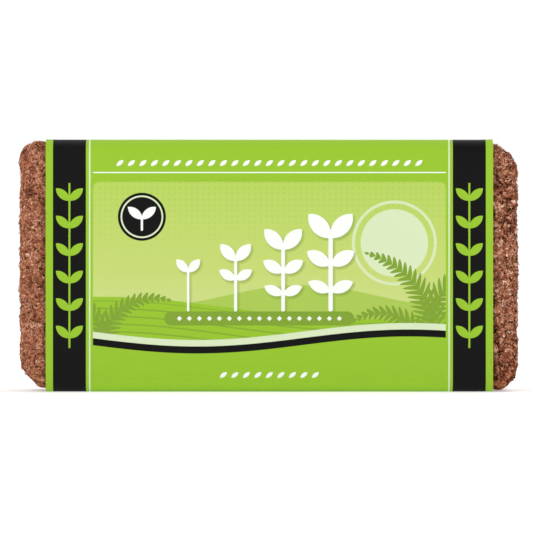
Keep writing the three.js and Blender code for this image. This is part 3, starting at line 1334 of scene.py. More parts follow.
class Drawing:
    """A flat place to draw on. Shapes are signed distances in millimetres, negative inside."""

    def __init__(self, graph: Graph, place: object) -> None:
        """Splits the place into its X and Y.

        Args:
            graph: the material's nodes.
            place: a vector output that holds the place in millimetres.
        """
        self.graph = graph
        self.place = place
        self.x, self.y = graph.split(place)

    def with_places(self, x: Number, y: Number) -> "Drawing":
        """Gives a drawing whose X and Y are worked out."""
        return Drawing(self.graph, self.graph.joined(x, y))

    def at(self, x: float, y: float, turn: float = 0.0, flip: bool = False) -> "Drawing":
        """Moves the origin.

        Args:
            x: where it goes, along X.
            y: where it goes, along Y.
            turn: how far the new axes are turned, in degrees.
            flip: whether the new Y points the other way.

        Returns:
            The moved drawing.
        """
        angles = (0.0, 0.0, math.radians(turn))
        sockets = {0: self.place, 1: (x, y, 0.0), 2: angles, 3: (1.0, -1.0 if flip else 1.0, 1.0)}
        moved = self.graph.node("ShaderNodeMapping", {"vector_type": "TEXTURE"}, sockets)
        return Drawing(self.graph, moved.outputs[0])

    def length(self, x: Number, y: Number) -> Term:
        """Gives the length of the vector from 0 to (x, y)."""
        return self.graph.length(self.graph.joined(x, y))

    def disc(self, radius: float) -> Term:
        """Draws a disc about the origin."""
        return self.length(self.x, self.y) - radius

    def leaf(self, length: float, width: float) -> Term:
        """Draws a pointed leaf along X about the origin, where two discs overlap."""
        radius = (length**2 + width**2) / (4.0 * width)
        return self.length(self.x, abs(self.y) + (radius - width / 2.0)) - radius

    def drop(self, radius: float, height: float) -> Term:
        """Draws a drop about the origin: a disc, and the tangents from it to a point above.

        Args:
            radius: the disc's radius.
            height: how far above its middle the point is.

        Returns:
            The distance.
        """
        lean = math.asin(radius / height)
        slope = abs(self.x) * math.cos(lean) + (self.y - height) * math.sin(lean)
        return self.disc(radius).least(slope.most(radius * math.sin(lean) - self.y))

    def slab(self, half_width: float, half_height: float, round_by: float) -> Term:
        """Draws a rectangle about the origin.

        Args:
            half_width: half its size along X.
            half_height: half its size along Y.
            round_by: the radius of its corners.

        Returns:
            The distance.
        """
        over_x = (abs(self.x) - (half_width - round_by)).most(0.0)
        over_y = (abs(self.y) - (half_height - round_by)).most(0.0)
        return self.length(over_x, over_y) - round_by

    def frond(self, radius: float, turn: float, reach: float, spacing: float) -> Term:
        """Draws a fern frond that bends along a circle about the origin, from +X on.

        Its leaflets stand side by side along the circle. They lean forward, narrow to a point
        and shorten towards the frond's tip.

        Args:
            radius: the circle's radius.
            turn: the angle that the frond takes up, in degrees.
            reach: how long the longest leaflets are.
            spacing: how far apart they stand.

        Returns:
            The distance.
        """
        off = abs(self.disc(radius))
        share = self.graph.maths("ARCTAN2", self.y, self.x) / math.radians(turn)
        along = share * (math.radians(turn) * radius)
        lean, rib, hairline = 0.75, 0.65, 0.1
        wave = abs((along - off * lean).cycle(spacing)) / (spacing / 2.0)
        grows, ends = share.fade(5.0), share.fade(-1.0, 1.0)
        leaflets = off - grows * ends**0.7 * reach * (1.0 - wave * wave)
        return leaflets.least(off - grows.least(ends) * rib) + hairline


class Paint:
    """The colour of a print while it is laid down, ink over ink."""

    def __init__(self, graph: Graph, ground: Ink) -> None:
        """Starts with the ground."""
        self.graph = graph
        self.colour = ground.rgba

    def lay(self, ink: object, mask: Term) -> None:
        """Lays an ink, or a colour that varies, over what is there, by a mask from 0 to 1."""
        over = ink.rgba if isinstance(ink, Ink) else ink
        self.colour = self.graph.mix(mask, self.colour, over)


@dataclass
class SleeveArtwork:
    """A plain garden print: hills and a sun, seedlings in a row, ferns and leafy end bands.

    Each method lays one part of it over the parts before. Y runs along the sheet, up the
    front, over the top and down the back.
    """

    sheet: Drawing
    paint: Paint
    top_middle: float
    back_middle: float
    band_middle: float = 80.0
    band_half: float = 6.6
    field_half: float = 70.6
    field_top: float = 33.5
    field_bottom: float = -38.5
    leaf_pitch: float = 11.0
    mark_pitch: float = 38.0
    sun: tuple[float, float] = (50.0, 9.0)
    row: tuple[float, float] = (-4.0, -18.4)
    round_mark: tuple[float, float] = (-51.0, 19.5)

    def __post_init__(self) -> None:
        """Frames the picture on the front."""
        self.graph = self.paint.graph
        self.lay = self.paint.lay
        self.tall = self.field_top - self.field_bottom
        self.frame = self.sheet.at(0.0, (self.field_top + self.field_bottom) / 2.0)
        self.field = self.frame.slab(self.field_half, self.tall / 2.0, 2.5).inside()

    def lay_in_field(self, ink: Ink, shape: Term, share: float = 1.0) -> None:
        """Lays an ink inside a shape, as far as the picture goes."""
        self.lay(ink, shape.inside() * self.field * share)

    def build(self) -> None:
        """Lays all the parts, from the ground up."""
        self.sky()
        self.landscape()
        self.ferns()
        self.seedlings()
        self.furrow()
        self.roundel()
        self.leaf_rows()
        self.back_panel()
        self.end_bands()

    def hill(self, level: float, width: float, phase: float, height: float) -> Term:
        """Draws all that is below a sine wave, which runs along the sheet at that level."""
        wave = self.graph.maths("SINE", self.sheet.x / width + phase)
        return self.sheet.y - level - wave * height

    def sky(self) -> None:
        """Lays the pale sky of the picture, with dots that shrink downwards."""
        height = self.frame.y / self.tall + 0.5
        stops = [(0.1, Ink.SKY_LOW.rgba), (0.5, Ink.SKY_MIDDLE.rgba), (1.0, Ink.SKY_TOP.rgba)]
        self.lay(self.graph.ramp(height, stops), self.field)
        pitch, start, growth = 2.3, 0.45, 1.35
        dots = self.sheet.length(self.sheet.x.cycle(pitch), self.sheet.y.cycle(pitch))
        self.lay_in_field(Ink.LIME, dots - (height - start) * growth, 0.22)

    def landscape(self) -> None:
        """Lays the sun with its ring, a far hill, and a near one with furrows."""
        sun = self.sheet.at(*self.sun).disc(0.0)
        self.lay_in_field(Ink.MIST, sun - 13.5, 0.9)
        self.lay_in_field(Ink.MIST, sun.band(16.4, 0.6), 0.8)
        self.lay_in_field(Ink.HILL, self.hill(-12.0, 19.0, 0.9, 4.2))
        near = self.hill(-17.0, 33.0, 3.6, 4.5)
        self.lay_in_field(Ink.LIME, near)
        furrows = near.cycle(3.1).band(0.0, 0.28)
        self.lay(Ink.LEAF, furrows.inside() * (near + 1.5).inside() * self.field * 0.8)

    def ferns(self) -> None:
        """Lays fern fronds that fan out of both lower corners of the picture."""
        fronds = (
            (30.0, -30.0, -2.0, False, 36.0, 80.0, 8.5),
            (88.0, -26.0, 176.0, True, 24.0, 96.0, 8.0),
            (44.0, -38.0, 12.0, False, 19.0, 118.0, 6.5),
            (-46.0, -34.0, 180.0, True, 21.0, 112.0, 6.5),
            (-84.0, -30.0, 0.0, False, 17.0, 100.0, 6.0),
        )
        for x, y, turned, flip, radius, turn, reach in fronds:
            frond = self.sheet.at(x, y, turned, flip).frond(radius, turn, reach, 2.5)
            self.lay_in_field(Ink.LEAF, frond)

    def seedlings(self) -> None:
        """Lays four white seedlings over their own soft shadow, and the bed they stand in."""
        x, y = self.row
        shadow = self.seedling_row(self.sheet.at(x + 0.6, y - 0.8))
        self.lay(Ink.SHADE, shadow.inside(1.6) * 0.55)
        self.lay(Ink.WHITE, self.seedling_row(self.sheet.at(x, y)).inside())
        bar = self.sheet.at(x, y - 2.8)
        self.lay(Ink.LEAF, bar.slab(38.0, 2.8, 2.8).inside())
        diamond = abs(bar.x.cycle(4.0, 0.5)) + abs(bar.y) - 1.0
        self.lay(Ink.WHITE, diamond.inside() * (abs(bar.x) - 34.0).inside())

    def seedling_row(self, ground: Drawing) -> Term:
        """Draws a row of seedlings: one in a cell, scaled up from cell to cell.

        The smaller ones are without their lower leaves.

        Args:
            ground: a drawing with its origin on the ground, in the middle of the row.

        Returns:
            The distance.
        """
        pitch, cells, first_scale, growth, nowhere = 19.0, 4, 0.55, 0.16, 90.0
        leaves = (
            (4.3, 33.2, 48.0, 12.6, 6.4),
            (4.7, 20.6, 32.0, 10.4, 5.4),
            (4.4, 9.6, 24.0, 9.4, 4.6),
        )
        place = ground.x / pitch + cells / 2.0
        cell = self.graph.maths("FLOOR", place).least(cells - 1.0).most(0.0)
        scale = cell * growth + first_scale
        local_x = abs((place - cell - 0.5) * pitch / scale)
        plant = ground.with_places(local_x, ground.y / scale)
        shape = plant.at(0.0, 15.0).slab(0.85, 15.0, 0.8)
        for number, (x, y, turn, length, width) in enumerate(leaves):
            missing = self.graph.maths("LESS_THAN", cell, number - 0.5)
            shape = shape.least(plant.at(x, y, turn).leaf(length, width) + missing * nowhere)
        return shape * scale

    def furrow(self) -> None:
        """Lays the pale and the black line that cross the foot of the picture, over plain lime."""
        line = self.hill(-29.0, 27.0, -0.5, 3.4)
        self.lay_in_field(Ink.LIME, line)
        self.lay_in_field(Ink.MIST, line.band(1.3, 1.3))
        self.lay_in_field(Ink.BLACK, line.band(-1.4, 1.4))

    def sprout(self, middle: Drawing, leaf: tuple[float, ...], stem: tuple[float, ...]) -> None:
        """Lays a white sprout of two leaves on a stem.

        Args:
            middle: a drawing with its origin where the sprout goes.
            leaf: the right leaf's X, Y, length and width.
            stem: the stem's Y, its half width and height, and its corners' radius.
        """
        blade = middle.with_places(abs(middle.x), middle.y).at(*leaf[:2], 40.0).leaf(*leaf[2:])
        stalk = middle.at(0.0, stem[0]).slab(*stem[1:])
        self.lay(Ink.WHITE, blade.least(stalk).inside())

    def roundel(self) -> None:
        """Lays a dark disc with a pale ring and a white sprout."""
        middle = self.sheet.at(*self.round_mark)
        disc = middle.disc(0.0)
        self.lay(Ink.PANEL, (disc - 9.6).inside())
        self.lay(Ink.MIST, disc.band(8.2, 0.32).inside())
        self.sprout(middle, (2.7, 1.5, 7.6, 3.4), (-2.7, 0.45, 2.9, 0.4))

    def leaf_rows(self) -> None:
        """Lays rows of small white leaves and thin lines on the front, the top and the bottom."""
        rows = (
            (-43.8, 4.6, 4.5),
            (41.0, 4.6, 13.5),
            (self.top_middle, 6.4, 9.5),
            (-self.top_middle, 6.4, 9.5),
        )
        for height, pitch, half_count in rows:
            row = self.sheet.at(0.0, height)
            cell = row.with_places(row.x.cycle(pitch, 0.5), row.y)
            leaf = cell.at(0.0, 0.0, 38.0).leaf(0.78 * pitch, 0.34 * pitch)
            self.lay(Ink.WHITE, leaf.inside() * (abs(row.x) - half_count * pitch).inside())
        from_row = abs(abs(self.sheet.y) - self.top_middle)
        rules = self.sheet.y.band(37.2, 0.22).least(from_row.band(7.0, 0.22))
        self.lay(Ink.WHITE, rules.inside() * (abs(self.sheet.x) - self.field_half).inside())

    def back_panel(self) -> None:
        """Lays a pale panel on the back, with three dark discs: a drop, a sprout and a sun."""
        panel = self.sheet.at(0.0, self.back_middle, 0.0, True)
        board = panel.slab(62.0, 22.0, 4.0)
        on_board = board.inside()
        self.lay(Ink.MIST, on_board)
        self.lay(Ink.LEAF, board.band(-2.2, 0.3).inside())
        cell = panel.with_places(panel.x.cycle(self.mark_pitch, 0.5), panel.y)
        self.lay(Ink.PANEL, cell.disc(12.5).inside() * on_board)
        self.lay(Ink.LIME, cell.disc(10.9).band(0.0, 0.35).inside() * on_board)
        self.lay(Ink.WHITE, panel.at(-self.mark_pitch, -2.0).drop(4.2, 9.6).inside())
        self.sprout(panel, (3.6, 2.4, 9.6, 4.4), (-2.9, 0.55, 4.0, 0.5))
        sun = panel.at(self.mark_pitch, 0.0)
        rays = 8.0
        turned = self.graph.maths("ARCTAN2", sun.y, sun.x) * (rays / math.tau)
        ray = (turned.cycle(1.0) * 7.2).band(0.0, 0.75).most(sun.disc(6.9).band(0.0, 1.2))
        self.lay(Ink.WHITE, sun.disc(3.7).least(ray).inside())

    def end_bands(self) -> None:
        """Lays a dark band round each end, with a lime sprig on the front and the back."""
        out = abs(self.sheet.x) - self.band_middle
        self.lay(Ink.PANEL, out.band(0.0, self.band_half).inside())
        self.lay(Ink.MIST, out.band(-self.band_half - 1.5, 0.3).inside())
        behind = self.graph.maths("GREATER_THAN", self.sheet.y, self.top_middle)
        upright = self.sheet.y + behind * (self.back_middle - self.sheet.y * 2.0)
        pair = self.sheet.with_places(abs(out), upright.cycle(self.leaf_pitch))
        sprig = pair.at(2.65, 0.9, 42.0).leaf(7.4, 3.3).least(out.band(0.0, 0.38))
        on_front = self.sheet.y.band(0.0, 3.0 * self.leaf_pitch).inside()
        on_back = self.sheet.y.band(self.back_middle, 2.0 * self.leaf_pitch).inside()
        self.lay(Ink.LIME, sprig.inside() * on_front.most(on_back))


@dataclass(frozen=True)
class PrintFinish:
    """Printed card with a soft gloss: worn folds, chafed mouths and a little coir dust."""

    half_length: float
    folds: tuple[float, float]
    top_middle: float
    back_middle: float
    roughness: float = 0.42
    gloss: float = 0.16
    fold_wear: float = 0.26
    mouth_wear: float = 0.34
    worn_share: float = 0.4
    dust_share: float = 0.8
    fibre: float = 0.5
    cloud: float = 9.0

    CLOUD_DULLING = 0.1
    FIBRE_DULLING = 0.05
    WEAR_DULLING = 0.3
    CLOUD_RELIEF = 1.5
    FOLD_FADE = 0.42
    MOUTH_FADE = 1.5
    SCUFF_STRETCH = (0.16, 1.0, 1.0)

    def material(self) -> bpy.types.Material:
        """Makes the material: the artwork, then the wear and dust, then the paper's surface.

        Returns:
            The material.
        """
        graph = Graph(bpy.data.materials.new("printed_card"))
        sheet = Drawing(graph, graph.node("ShaderNodeUVMap", {"uv_map": "print"}, {}).outputs[0])
        paint = Paint(graph, Ink.LIME)
        SleeveArtwork(sheet, paint, self.top_middle, self.back_middle).build()
        place = graph.object_place()
        worn = self.wear(sheet, place)
        paint.lay(Ink.BOARD, worn * self.worn_share)
        paint.lay(Ink.DUST, self.dust(sheet, place) * self.dust_share)
        fibres, clouds = graph.noise(place, self.fibre, 3.0), graph.noise(place, self.cloud)
        roughness = self.roughness + clouds * self.CLOUD_DULLING + fibres * self.FIBRE_DULLING
        roughness = roughness + worn * self.WEAR_DULLING
        normal = graph.bump(fibres + clouds * self.CLOUD_RELIEF, distance=0.02, strength=0.3)
        return graph.surface(paint.colour, roughness, self.gloss, Normal=normal)

    def wear(self, sheet: Drawing, place: object) -> Term:
        """Rubs the ink off along the folds and at the mouths, where a noise lets it.

        Args:
            sheet: the sheet.
            place: the place on the object.

        Returns:
            Where the card shows through, from 0 to 1.
        """
        graph = sheet.graph
        near, far = (abs(abs(sheet.y) - fold) for fold in self.folds)
        on_fold = near.least(far).fade(-self.FOLD_FADE, 1.0)
        on_mouth = (self.half_length - abs(sheet.x)).fade(-self.MOUTH_FADE, 1.0)
        easily_worn = (on_fold * self.fold_wear).most(on_mouth * self.mouth_wear)
        drawn_out = graph.vectors("MULTIPLY", place, self.SCUFF_STRETCH).outputs[0]
        scuff, cloud, contrast, threshold = 1.1, 22.0, 4.0, 3.25
        scuffs, clouds = graph.noise(drawn_out, scuff, 3.0), graph.noise(place, cloud)
        return ((scuffs + clouds) * 0.5 + easily_worn).fade(contrast, -threshold)

    def dust(self, sheet: Drawing, place: object) -> Term:
        """Scatters specks of coir on the card, each smaller the further it is from a mouth.

        Args:
            sheet: the sheet.
            place: the place on the object.

        Returns:
            Where the specks are, from 0 to 1.
        """
        per_mm, size, cut, soft = 0.9, 0.3, 0.09, 0.08
        near = (self.half_length - abs(sheet.x)).fade(-0.2, 1.0)
        away, own, _ = sheet.graph.cells(place, per_mm)
        return (away - (own * near * size - cut)).inside(soft)


@dataclass(frozen=True)
class BoardFinish:
    """The card's raw side and cut edges: grey-brown board with flecks of fibre in it."""

    roughness: float = 0.9
    gloss: float = 0.2
    fleck: float = 0.7
    cloud: float = 8.0

    FLECK_SHARE = 1.2
    CLOUD_SHARE = 0.5
    DARKER = 0.45

    def material(self) -> bpy.types.Material:
        """Makes the material.

        Returns:
            The material.
        """
        graph = Graph(bpy.data.materials.new("raw_card"))
        place = graph.object_place()
        flecks, clouds = graph.noise(place, self.fleck, 4.0), graph.noise(place, self.cloud)
        tone = flecks * self.FLECK_SHARE + clouds * self.CLOUD_SHARE - self.DARKER
        colour = graph.mix(tone, Ink.FLECK.rgba, Ink.BOARD.rgba)
        normal = graph.bump(flecks, distance=0.03, strength=0.6)
        return graph.surface(colour, self.roughness, self.gloss, Normal=normal)


@dataclass
class CardSleeve:
    """The band of card: bent round the brick, with its ends glued over each other behind.

    It waves gently over the coir, flares a little at the mouths, steps out over its inner end
    at the lap, and lifts along its free edge.
    """

    low: Array
    high: Array
    card: float = 0.4
    fold_radius: float = 4.5
    lap_edge: float = 24.0
    lap_width: float = 16.0
    lap_ramp: float = 2.5
    glue: float = 0.03
    step: float = 2.0
    fold_steps: int = 9
    wave: float = 0.14
    stiff: tuple[float, float] = (3.0, 14.0)
    flare: float = 0.22
    flare_run: float = 5.0
    lift: float = 0.3
    lift_run: float = 7.0
    crease: float = 50.0
    panel_height: float = 67.5

    WAVES = Roughness(34.0, 1.0, 61.3)
    DIMPLES = Roughness(11.0, 0.05, 68.9)
    EDGES = Roughness(15.0, 1.0, 75.1)
    NEAR_MOUTH = (0.0, 0.3, 0.8, 1.6, 2.8, 4.4)

    @classmethod
    def from_frame(cls) -> "CardSleeve":
        """Takes the sleeve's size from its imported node."""
        return cls(*node_box(SLEEVE_NODE))

    @property
    def middle_height(self) -> float:
        """Gives the height of the middle of the front."""
        return (self.low[2] + self.high[2]) / 2.0

    @property
    def half_length(self) -> float:
        """Gives half of the sleeve's length."""
        return (self.high[0] - self.low[0]) / 2.0

    @property
    def turns(self) -> tuple[float, float, float, float]:
        """Gives where the first fold, the top, the second fold and the back start.

        Returns:
            The distances from the middle of the front, along the middle of the card.
        """
        outside = self.fold_radius + self.card / 2.0
        first = (self.high[2] - self.low[2]) / 2.0 - outside
        narrow = self.high[1] - self.low[1] - self.card - 2.0 * outside
        arc = math.pi / 2.0 * self.fold_radius
        return first, first + arc, first + arc + narrow, first + 2.0 * arc + narrow

    @property
    def ends(self) -> tuple[float, float]:
        """Gives where the sheet starts and stops: under the lap, and at its free edge.

        Returns:
            The distances along the sheet.
        """
        first, _, _, back = self.turns
        under = back + (self.lap_edge + self.lap_width) - (self.middle_height - first)
        return -under, back + self.middle_height + first - self.lap_edge

    def wrap(self, along: Array) -> tuple[Array, Array]:
        """Bends the flat sheet round the brick.

        The half above the middle of the front goes up, over the top and down the back; the
        other half is its mirror image. Flats are straight lines and folds are quarter circles.

        Args:
            along: distances from the middle of the front, in millimetres.

        Returns:
            Y and Z of the middle of the card, and of the way out.
        """
        first, top, second, back = self.turns
        radius, reach = self.fold_radius, np.abs(along)
        front_y = self.low[1] + self.card / 2.0
        back_y = self.high[1] - 1.5 * self.card
        turn = np.where(reach <= top, reach - first, reach - second) / radius
        turn = np.clip(turn, 0.0, math.pi / 2.0)
        sine, cosine = np.sin(turn), np.cos(turn)
        where = [reach <= first, reach <= top, reach <= second, reach <= back]
        on_top = front_y + radius + reach - top
        ys = [front_y, front_y + radius - radius * cosine, on_top, back_y - radius + radius * sine]
        ups = [reach, first + radius * sine, first + radius, first + radius * cosine]
        side = np.where(along < 0.0, -1.0, 1.0)
        y = np.select(where, ys, back_y)
        z = self.middle_height + side * np.select(where, ups, first - (reach - back))
        out_y = np.select(where, [-1.0, -cosine, 0.0, sine], 1.0)
        out_z = side * np.select(where, [0.0, sine, 1.0, cosine], 0.0)
        return np.stack([y, z], axis=-1), np.stack([out_y, out_z], axis=-1)

    def along(self) -> Array:
        """Places the rows of vertices along the sheet, closer round the folds and the lap.

        Returns:
            Their distances from the middle of the front.
        """
        start, end = self.ends
        ramp, ramp_run = end - self.lap_width, 4.0
        folds = np.array(self.turns)
        marks = [start, *-folds[::-1], *folds, ramp - ramp_run, ramp, end]
        rows = []
        for i, (a, b) in enumerate(itertools.pairwise(marks)):
            count = self.fold_steps if i % 2 else math.ceil((b - a) / self.step)
            rows.append(np.linspace(a, b, count + 1)[:-1])
        return np.concatenate([*rows, [end]])

    def stations(self) -> Array:
        """Places the vertices along X, closer near the mouths.

        Returns:
            Their X.
        """
        near = np.array(self.NEAR_MOUTH)
        left = self.low[0] + near
        right = self.high[0] - near[::-1]
        count = math.ceil((right[0] - left[-1]) / self.step)
        return np.concatenate([left[:-1], np.linspace(left[-1], right[0], count + 1), right[1:]])

    def offset(self, x: Array, along: Array, places: Array) -> Array:
        """Works out how far the card stands off its plain form.

        Args:
            x: places along the brick.
            along: distances along the sheet.
            places: places on the plain form.

        Returns:
            The distance outwards.
        """
        mean_wave, mean_flare, mean_lift = 0.5, 0.6, 0.5
        deepest_dent, lap_flare = 0.1, 0.15
        first, top, second, back = self.turns
        reach, height = np.abs(along), places[..., 2]
        on_lap = (along > back).astype(float)
        ramp_start = self.lap_edge + self.lap_width
        ramp_end = ramp_start + self.lap_ramp
        calm = 1.0 - on_lap * (height < ramp_end) - (along < -back)
        to_fold = np.minimum(abs(reach - (first + top) / 2.0), abs(reach - (second + back) / 2.0))
        waves = self.wave * (mean_wave + self.WAVES.noise(places)) + self.DIMPLES.relief(places)
        waves = np.maximum(waves * smooth(*self.stiff, to_fold), -deepest_dent)
        waves = waves * np.maximum(calm, 0.0)
        to_mouth = np.minimum(x - self.low[0], self.high[0] - x)
        flare = self.flare * (mean_flare + self.EDGES.noise(places))
        flare = flare * (1.0 - smooth(0.0, self.flare_run, to_mouth))
        flare = np.maximum(flare, 0.0) * np.maximum(calm, lap_flare)
        step_out = on_lap * (1.0 - smooth(ramp_start, ramp_end, height))
        free = on_lap * (1.0 - smooth(self.lap_edge, self.lap_edge + self.lift_run, height))
        along_edge = places * np.array([1.0, 0.0, 0.0])
        lifted = self.lift * free * (mean_lift + self.EDGES.noise(along_edge))
        return waves + flare + step_out * (self.card + self.glue) + np.maximum(lifted, 0.0)

    def build(self) -> None:
        """Builds the sleeve: an outer and an inner skin of the card, and its four cut edges."""
        x, along = np.meshgrid(self.stations(), self.along(), indexing="ij")
        places, out = self.wrap(along)
        plain = np.concatenate([x[..., None], places], axis=-1)
        normal = np.concatenate([np.zeros_like(x)[..., None], out], axis=-1)
        off = self.offset(x, along, plain)[..., None]
        outer, inner = (plain + normal * (off + side * self.card / 2.0) for side in (1.0, -1.0))
        outer[..., 2] = np.maximum(outer[..., 2], 0.0)
        upper = np.arange(x.size).reshape(x.shape)
        parts = self.faces(upper, upper + x.size)
        faces = np.concatenate(parts)
        first, top, second, back = self.turns
        print_finish = PrintFinish(
            half_length=self.half_length,
            folds=((first + top) / 2.0, (second + back) / 2.0),
            top_middle=(top + second) / 2.0,
            back_middle=back + self.middle_height + first - self.panel_height,
        )
        skins = np.stack([outer, inner]).reshape(-1, 3)
        finishes = print_finish.material(), BoardFinish().material()
        piece = make_piece("printed_sleeve", skins, [faces], CARD_SLOT, *finishes)
        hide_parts(SLEEVE_NODE)
        flat_x = x - (self.low[0] + self.high[0]) / 2.0
        flat = [np.stack([flat_x, along, np.full_like(x, side)], axis=-1) for side in (0.0, 1.0)]
        flat = np.concatenate(flat).reshape(-1, 3)
        add_map(piece, "print", flat[faces.ravel(), :2])
        add_map(piece, "OFBake", self.picture([flat[part] for part in parts]))
        is_raw = np.arange(len(faces)) >= len(parts[0])
        piece.data.polygons.foreach_set("material_index", is_raw.astype(np.int32))
        piece.data.set_sharp_from_angle(angle=math.radians(self.crease))

    def picture(self, faces: list[Array]) -> Array:
        """Lays the card out in the OFBake map's square, with the front and its folds the largest.

        The front takes the picture's whole width. The rest of the outer skin lies below it at
        half the size, in two strips, and the inner skin and the cut edges take what is left.

        Args:
            faces: for the outer skin, the inner skin and each cut edge, the place of each
                corner of each face: along X, along the sheet, and 1 on the inner skin.

        Returns:
            The place of each corner in the picture.
        """
        start, end = self.ends
        top, half = self.turns[1], self.half_length
        gap = 0.005
        wide = (1.0 - 3.0 * gap) / 2.0
        tall = (1.0 - 2.0 * gap) * top / half
        over, under = (wide / (2.0 * half) * length for length in (end - top, -top - start))
        left, right = gap, 2.0 * gap + wide
        floor_left, floor_right = 2.0 * gap + over, 2.0 * gap + under
        ceiling = 1.0 - 2.0 * gap - tall
        front = Patch((0, 1), (-half, -top), (half, top), (gap, ceiling + gap), (1 - 2 * gap, tall))
        above = Patch((0, 1), (-half, top), (half, end), (left, gap), (wide, over))
        below = Patch((0, 1), (-half, start), (half, -top), (right, gap), (wide, under))
        inner_size = (wide, ceiling - floor_right)
        inner = Patch((0, 1), (half, start), (-half, end), (right, floor_right), inner_size)
        middle = faces[0][..., 1].mean(axis=1)[:, None, None]
        outer = np.where(middle > top, above.lay(faces[0]), below.lay(faces[0]))
        laid = [np.where(np.abs(middle) < top, front.lay(faces[0]), outer), inner.lay(faces[1])]
        pitch = (ceiling - floor_left + gap) / 4.0
        across, along = (0, -half, half), (1, start, end)
        for i, (axis, first, last) in enumerate((along, along, across, across)):
            side = i % 2
            corner = (left, floor_left + i * pitch)
            edge = Patch((axis, 2), (first, side), (last, 1 - side), corner, (wide, pitch - gap))
            laid.append(edge.lay(faces[2 + i]))
        return np.concatenate(laid)

    @staticmethod
    def faces(upper: Array, lower: Array) -> list[Array]:
        """Joins the two skins' vertices.

        Args:
            upper: the outer skin's vertex numbers, along X and along the sheet.
            lower: the inner skin's, in the same order.

        Returns:
            The squares of the outer skin, the inner skin and each cut edge, facing out.
        """

        def strip(one: Array, other: Array) -> Array:
            """Makes a strip of squares between two lines of vertices."""
            return squares(one[:-1], one[1:], other[1:], other[:-1])

        outside = squares(upper[:-1, :-1], upper[1:, :-1], upper[1:, 1:], upper[:-1, 1:])
        inside = squares(lower[:-1, :-1], lower[:-1, 1:], lower[1:, 1:], lower[1:, :-1])
        ends = strip(upper[0], lower[0]), strip(lower[-1], upper[-1])
        edges = strip(upper[:, -1], lower[:, -1]), strip(lower[:, 0], upper[:, 0])
        return [outside, inside, *ends, *edges]


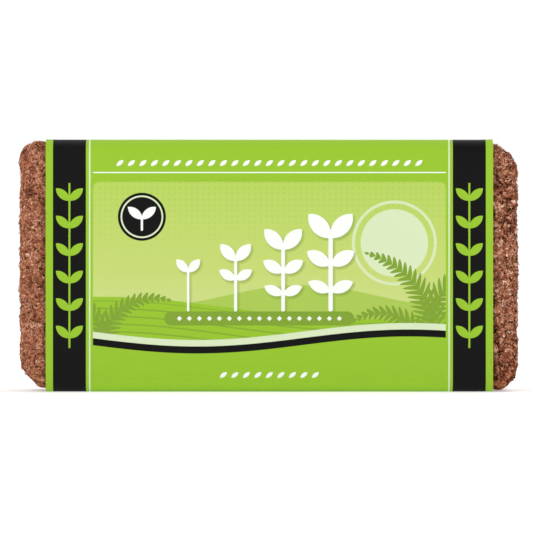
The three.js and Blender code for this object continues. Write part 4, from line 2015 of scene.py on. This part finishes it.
@dataclass
class Studio:
    """A pale floor, soft lamps and the camera that sees the brick as the photograph does."""

    low: Array
    high: Array
    frame_pixels: float = 533.0
    pixels_per_mm: float = 2.4945
    centre_right: float = 2.25
    centre_up: float = 1.0
    distance: float = 2000.0
    sensor: float = 36.0
    coir_front: float = 4.0
    floor_size: float = 4000.0
    floor_drop: float = 0.05
    floor_tone: float = 0.9
    floor_roughness: float = 0.9
    floor_gloss: float = 0.5
    near_glow: float = 0.6
    glow_reach: float = 1600.0
    glow_strength: float = 0.5
    sky_lighting: float = 0.3
    sky_seen: float = 1.05
    aim_height: float = 50.0

    CLIP = (0.05, 50.0)
    LAMPS = (
        ("key", (-1300.0, -1700.0, 1100.0), 1000.0, 15.0),
        ("fill", (1500.0, -1600.0, 700.0), 1500.0, 5.4),
        ("top", (0.0, 250.0, 2400.0), 3600.0, 44.0),
        ("back", (700.0, 1900.0, 1000.0), 1500.0, 15.0),
    )

    def camera(self) -> None:
        """Places the camera straight in front, with the brick where the photograph has it."""
        lens = bpy.data.cameras.new("camera")
        lens.sensor_width = self.sensor
        seen = self.frame_pixels / self.pixels_per_mm
        lens.lens = self.sensor * (self.distance + self.coir_front) / seen
        lens.clip_start, lens.clip_end = self.CLIP
        camera = put("camera", lens)
        x = -self.centre_right / self.pixels_per_mm
        z = (self.low[2] + self.high[2]) / 2.0 - self.centre_up / self.pixels_per_mm
        camera.location = (x * MM, (self.low[1] - self.distance) * MM, z * MM)
        camera.rotation_euler = (math.pi / 2.0, 0.0, 0.0)
        bpy.context.scene.camera = camera

    def lamp(self, name: str, place: tuple[float, float, float], size: float, watts: float) -> None:
        """Hangs a square soft lamp that looks at the brick.

        Args:
            name: its name.
            place: where it hangs, in millimetres.
            size: its side, in millimetres.
            watts: its power.
        """
        light = bpy.data.lights.new(name, "AREA")
        light.size = size * MM
        light.energy = watts
        lamp = put(name, light)
        x, y, z = np.array([0.0, 0.0, self.aim_height]) - np.array(place)
        tilt = math.pi / 2.0 + math.atan2(z, math.hypot(x, y))
        lamp.rotation_euler = (tilt, 0.0, math.atan2(-x, y))
        lamp.location = [value * MM for value in place]
        lamp.visible_camera = False

    def floor(self) -> None:
        """Lays the floor just under the brick, a little brighter further out."""
        half = self.floor_size / 2.0
        outline = ((-half, -half), (half, -half), (half, half), (-half, half))
        corners = [(x * MM, y * MM, -self.floor_drop * MM) for x, y in outline]
        mesh = bpy.data.meshes.new("floor")
        mesh.from_pydata(corners, [], [(0, 1, 2, 3)])
        floor = put("floor", mesh)
        graph = Graph(bpy.data.materials.new("pale_floor"))
        glow = graph.length(graph.object_place()).fade(1.0 / self.glow_reach, self.near_glow)
        lit = {"Emission_Color": glow, "Emission_Strength": self.glow_strength}
        pale = (self.floor_tone, self.floor_tone, self.floor_tone, 1.0)
        finish = graph.surface(pale, self.floor_roughness, self.floor_gloss, **lit)
        mesh.materials.append(finish)

    def sky(self) -> None:
        """Surrounds the stage with white for the camera and a softer white for the lighting."""
        world = bpy.data.worlds.new("white")
        graph = Graph(world)
        seen = graph.node("ShaderNodeLightPath", {}, {}).outputs["Is Camera Ray"]
        sockets = {"Value": seen, "To Min": self.sky_lighting, "To Max": self.sky_seen}
        strength = graph.node("ShaderNodeMapRange", {}, sockets).outputs[0]
        sockets = {"Color": (1.0, 1.0, 1.0, 1.0), "Strength": strength}
        background = graph.node("ShaderNodeBackground", {}, sockets)
        graph.node("ShaderNodeOutputWorld", {}, {"Surface": background.outputs[0]})
        bpy.context.scene.world = world

    def build(self) -> None:
        """Sets the whole stage."""
        self.camera()
        self.floor()
        self.sky()
        for name, place, size, watts in self.LAMPS:
            self.lamp(name, place, size, watts)
        bpy.context.scene.view_settings.view_transform = "Standard"


def main() -> None:
    """Builds the stage, the sleeve and the coir, in that order."""
    logging.basicConfig(level=logging.INFO, format="%(message)s")
    sleeve = CardSleeve.from_frame()
    Studio(sleeve.low, sleeve.high).build()
    sleeve.build()
    CoirBrick(CoirShape.from_frame(card=sleeve.card, gap=0.3)).build()


if __name__ == "__main__":
    main()
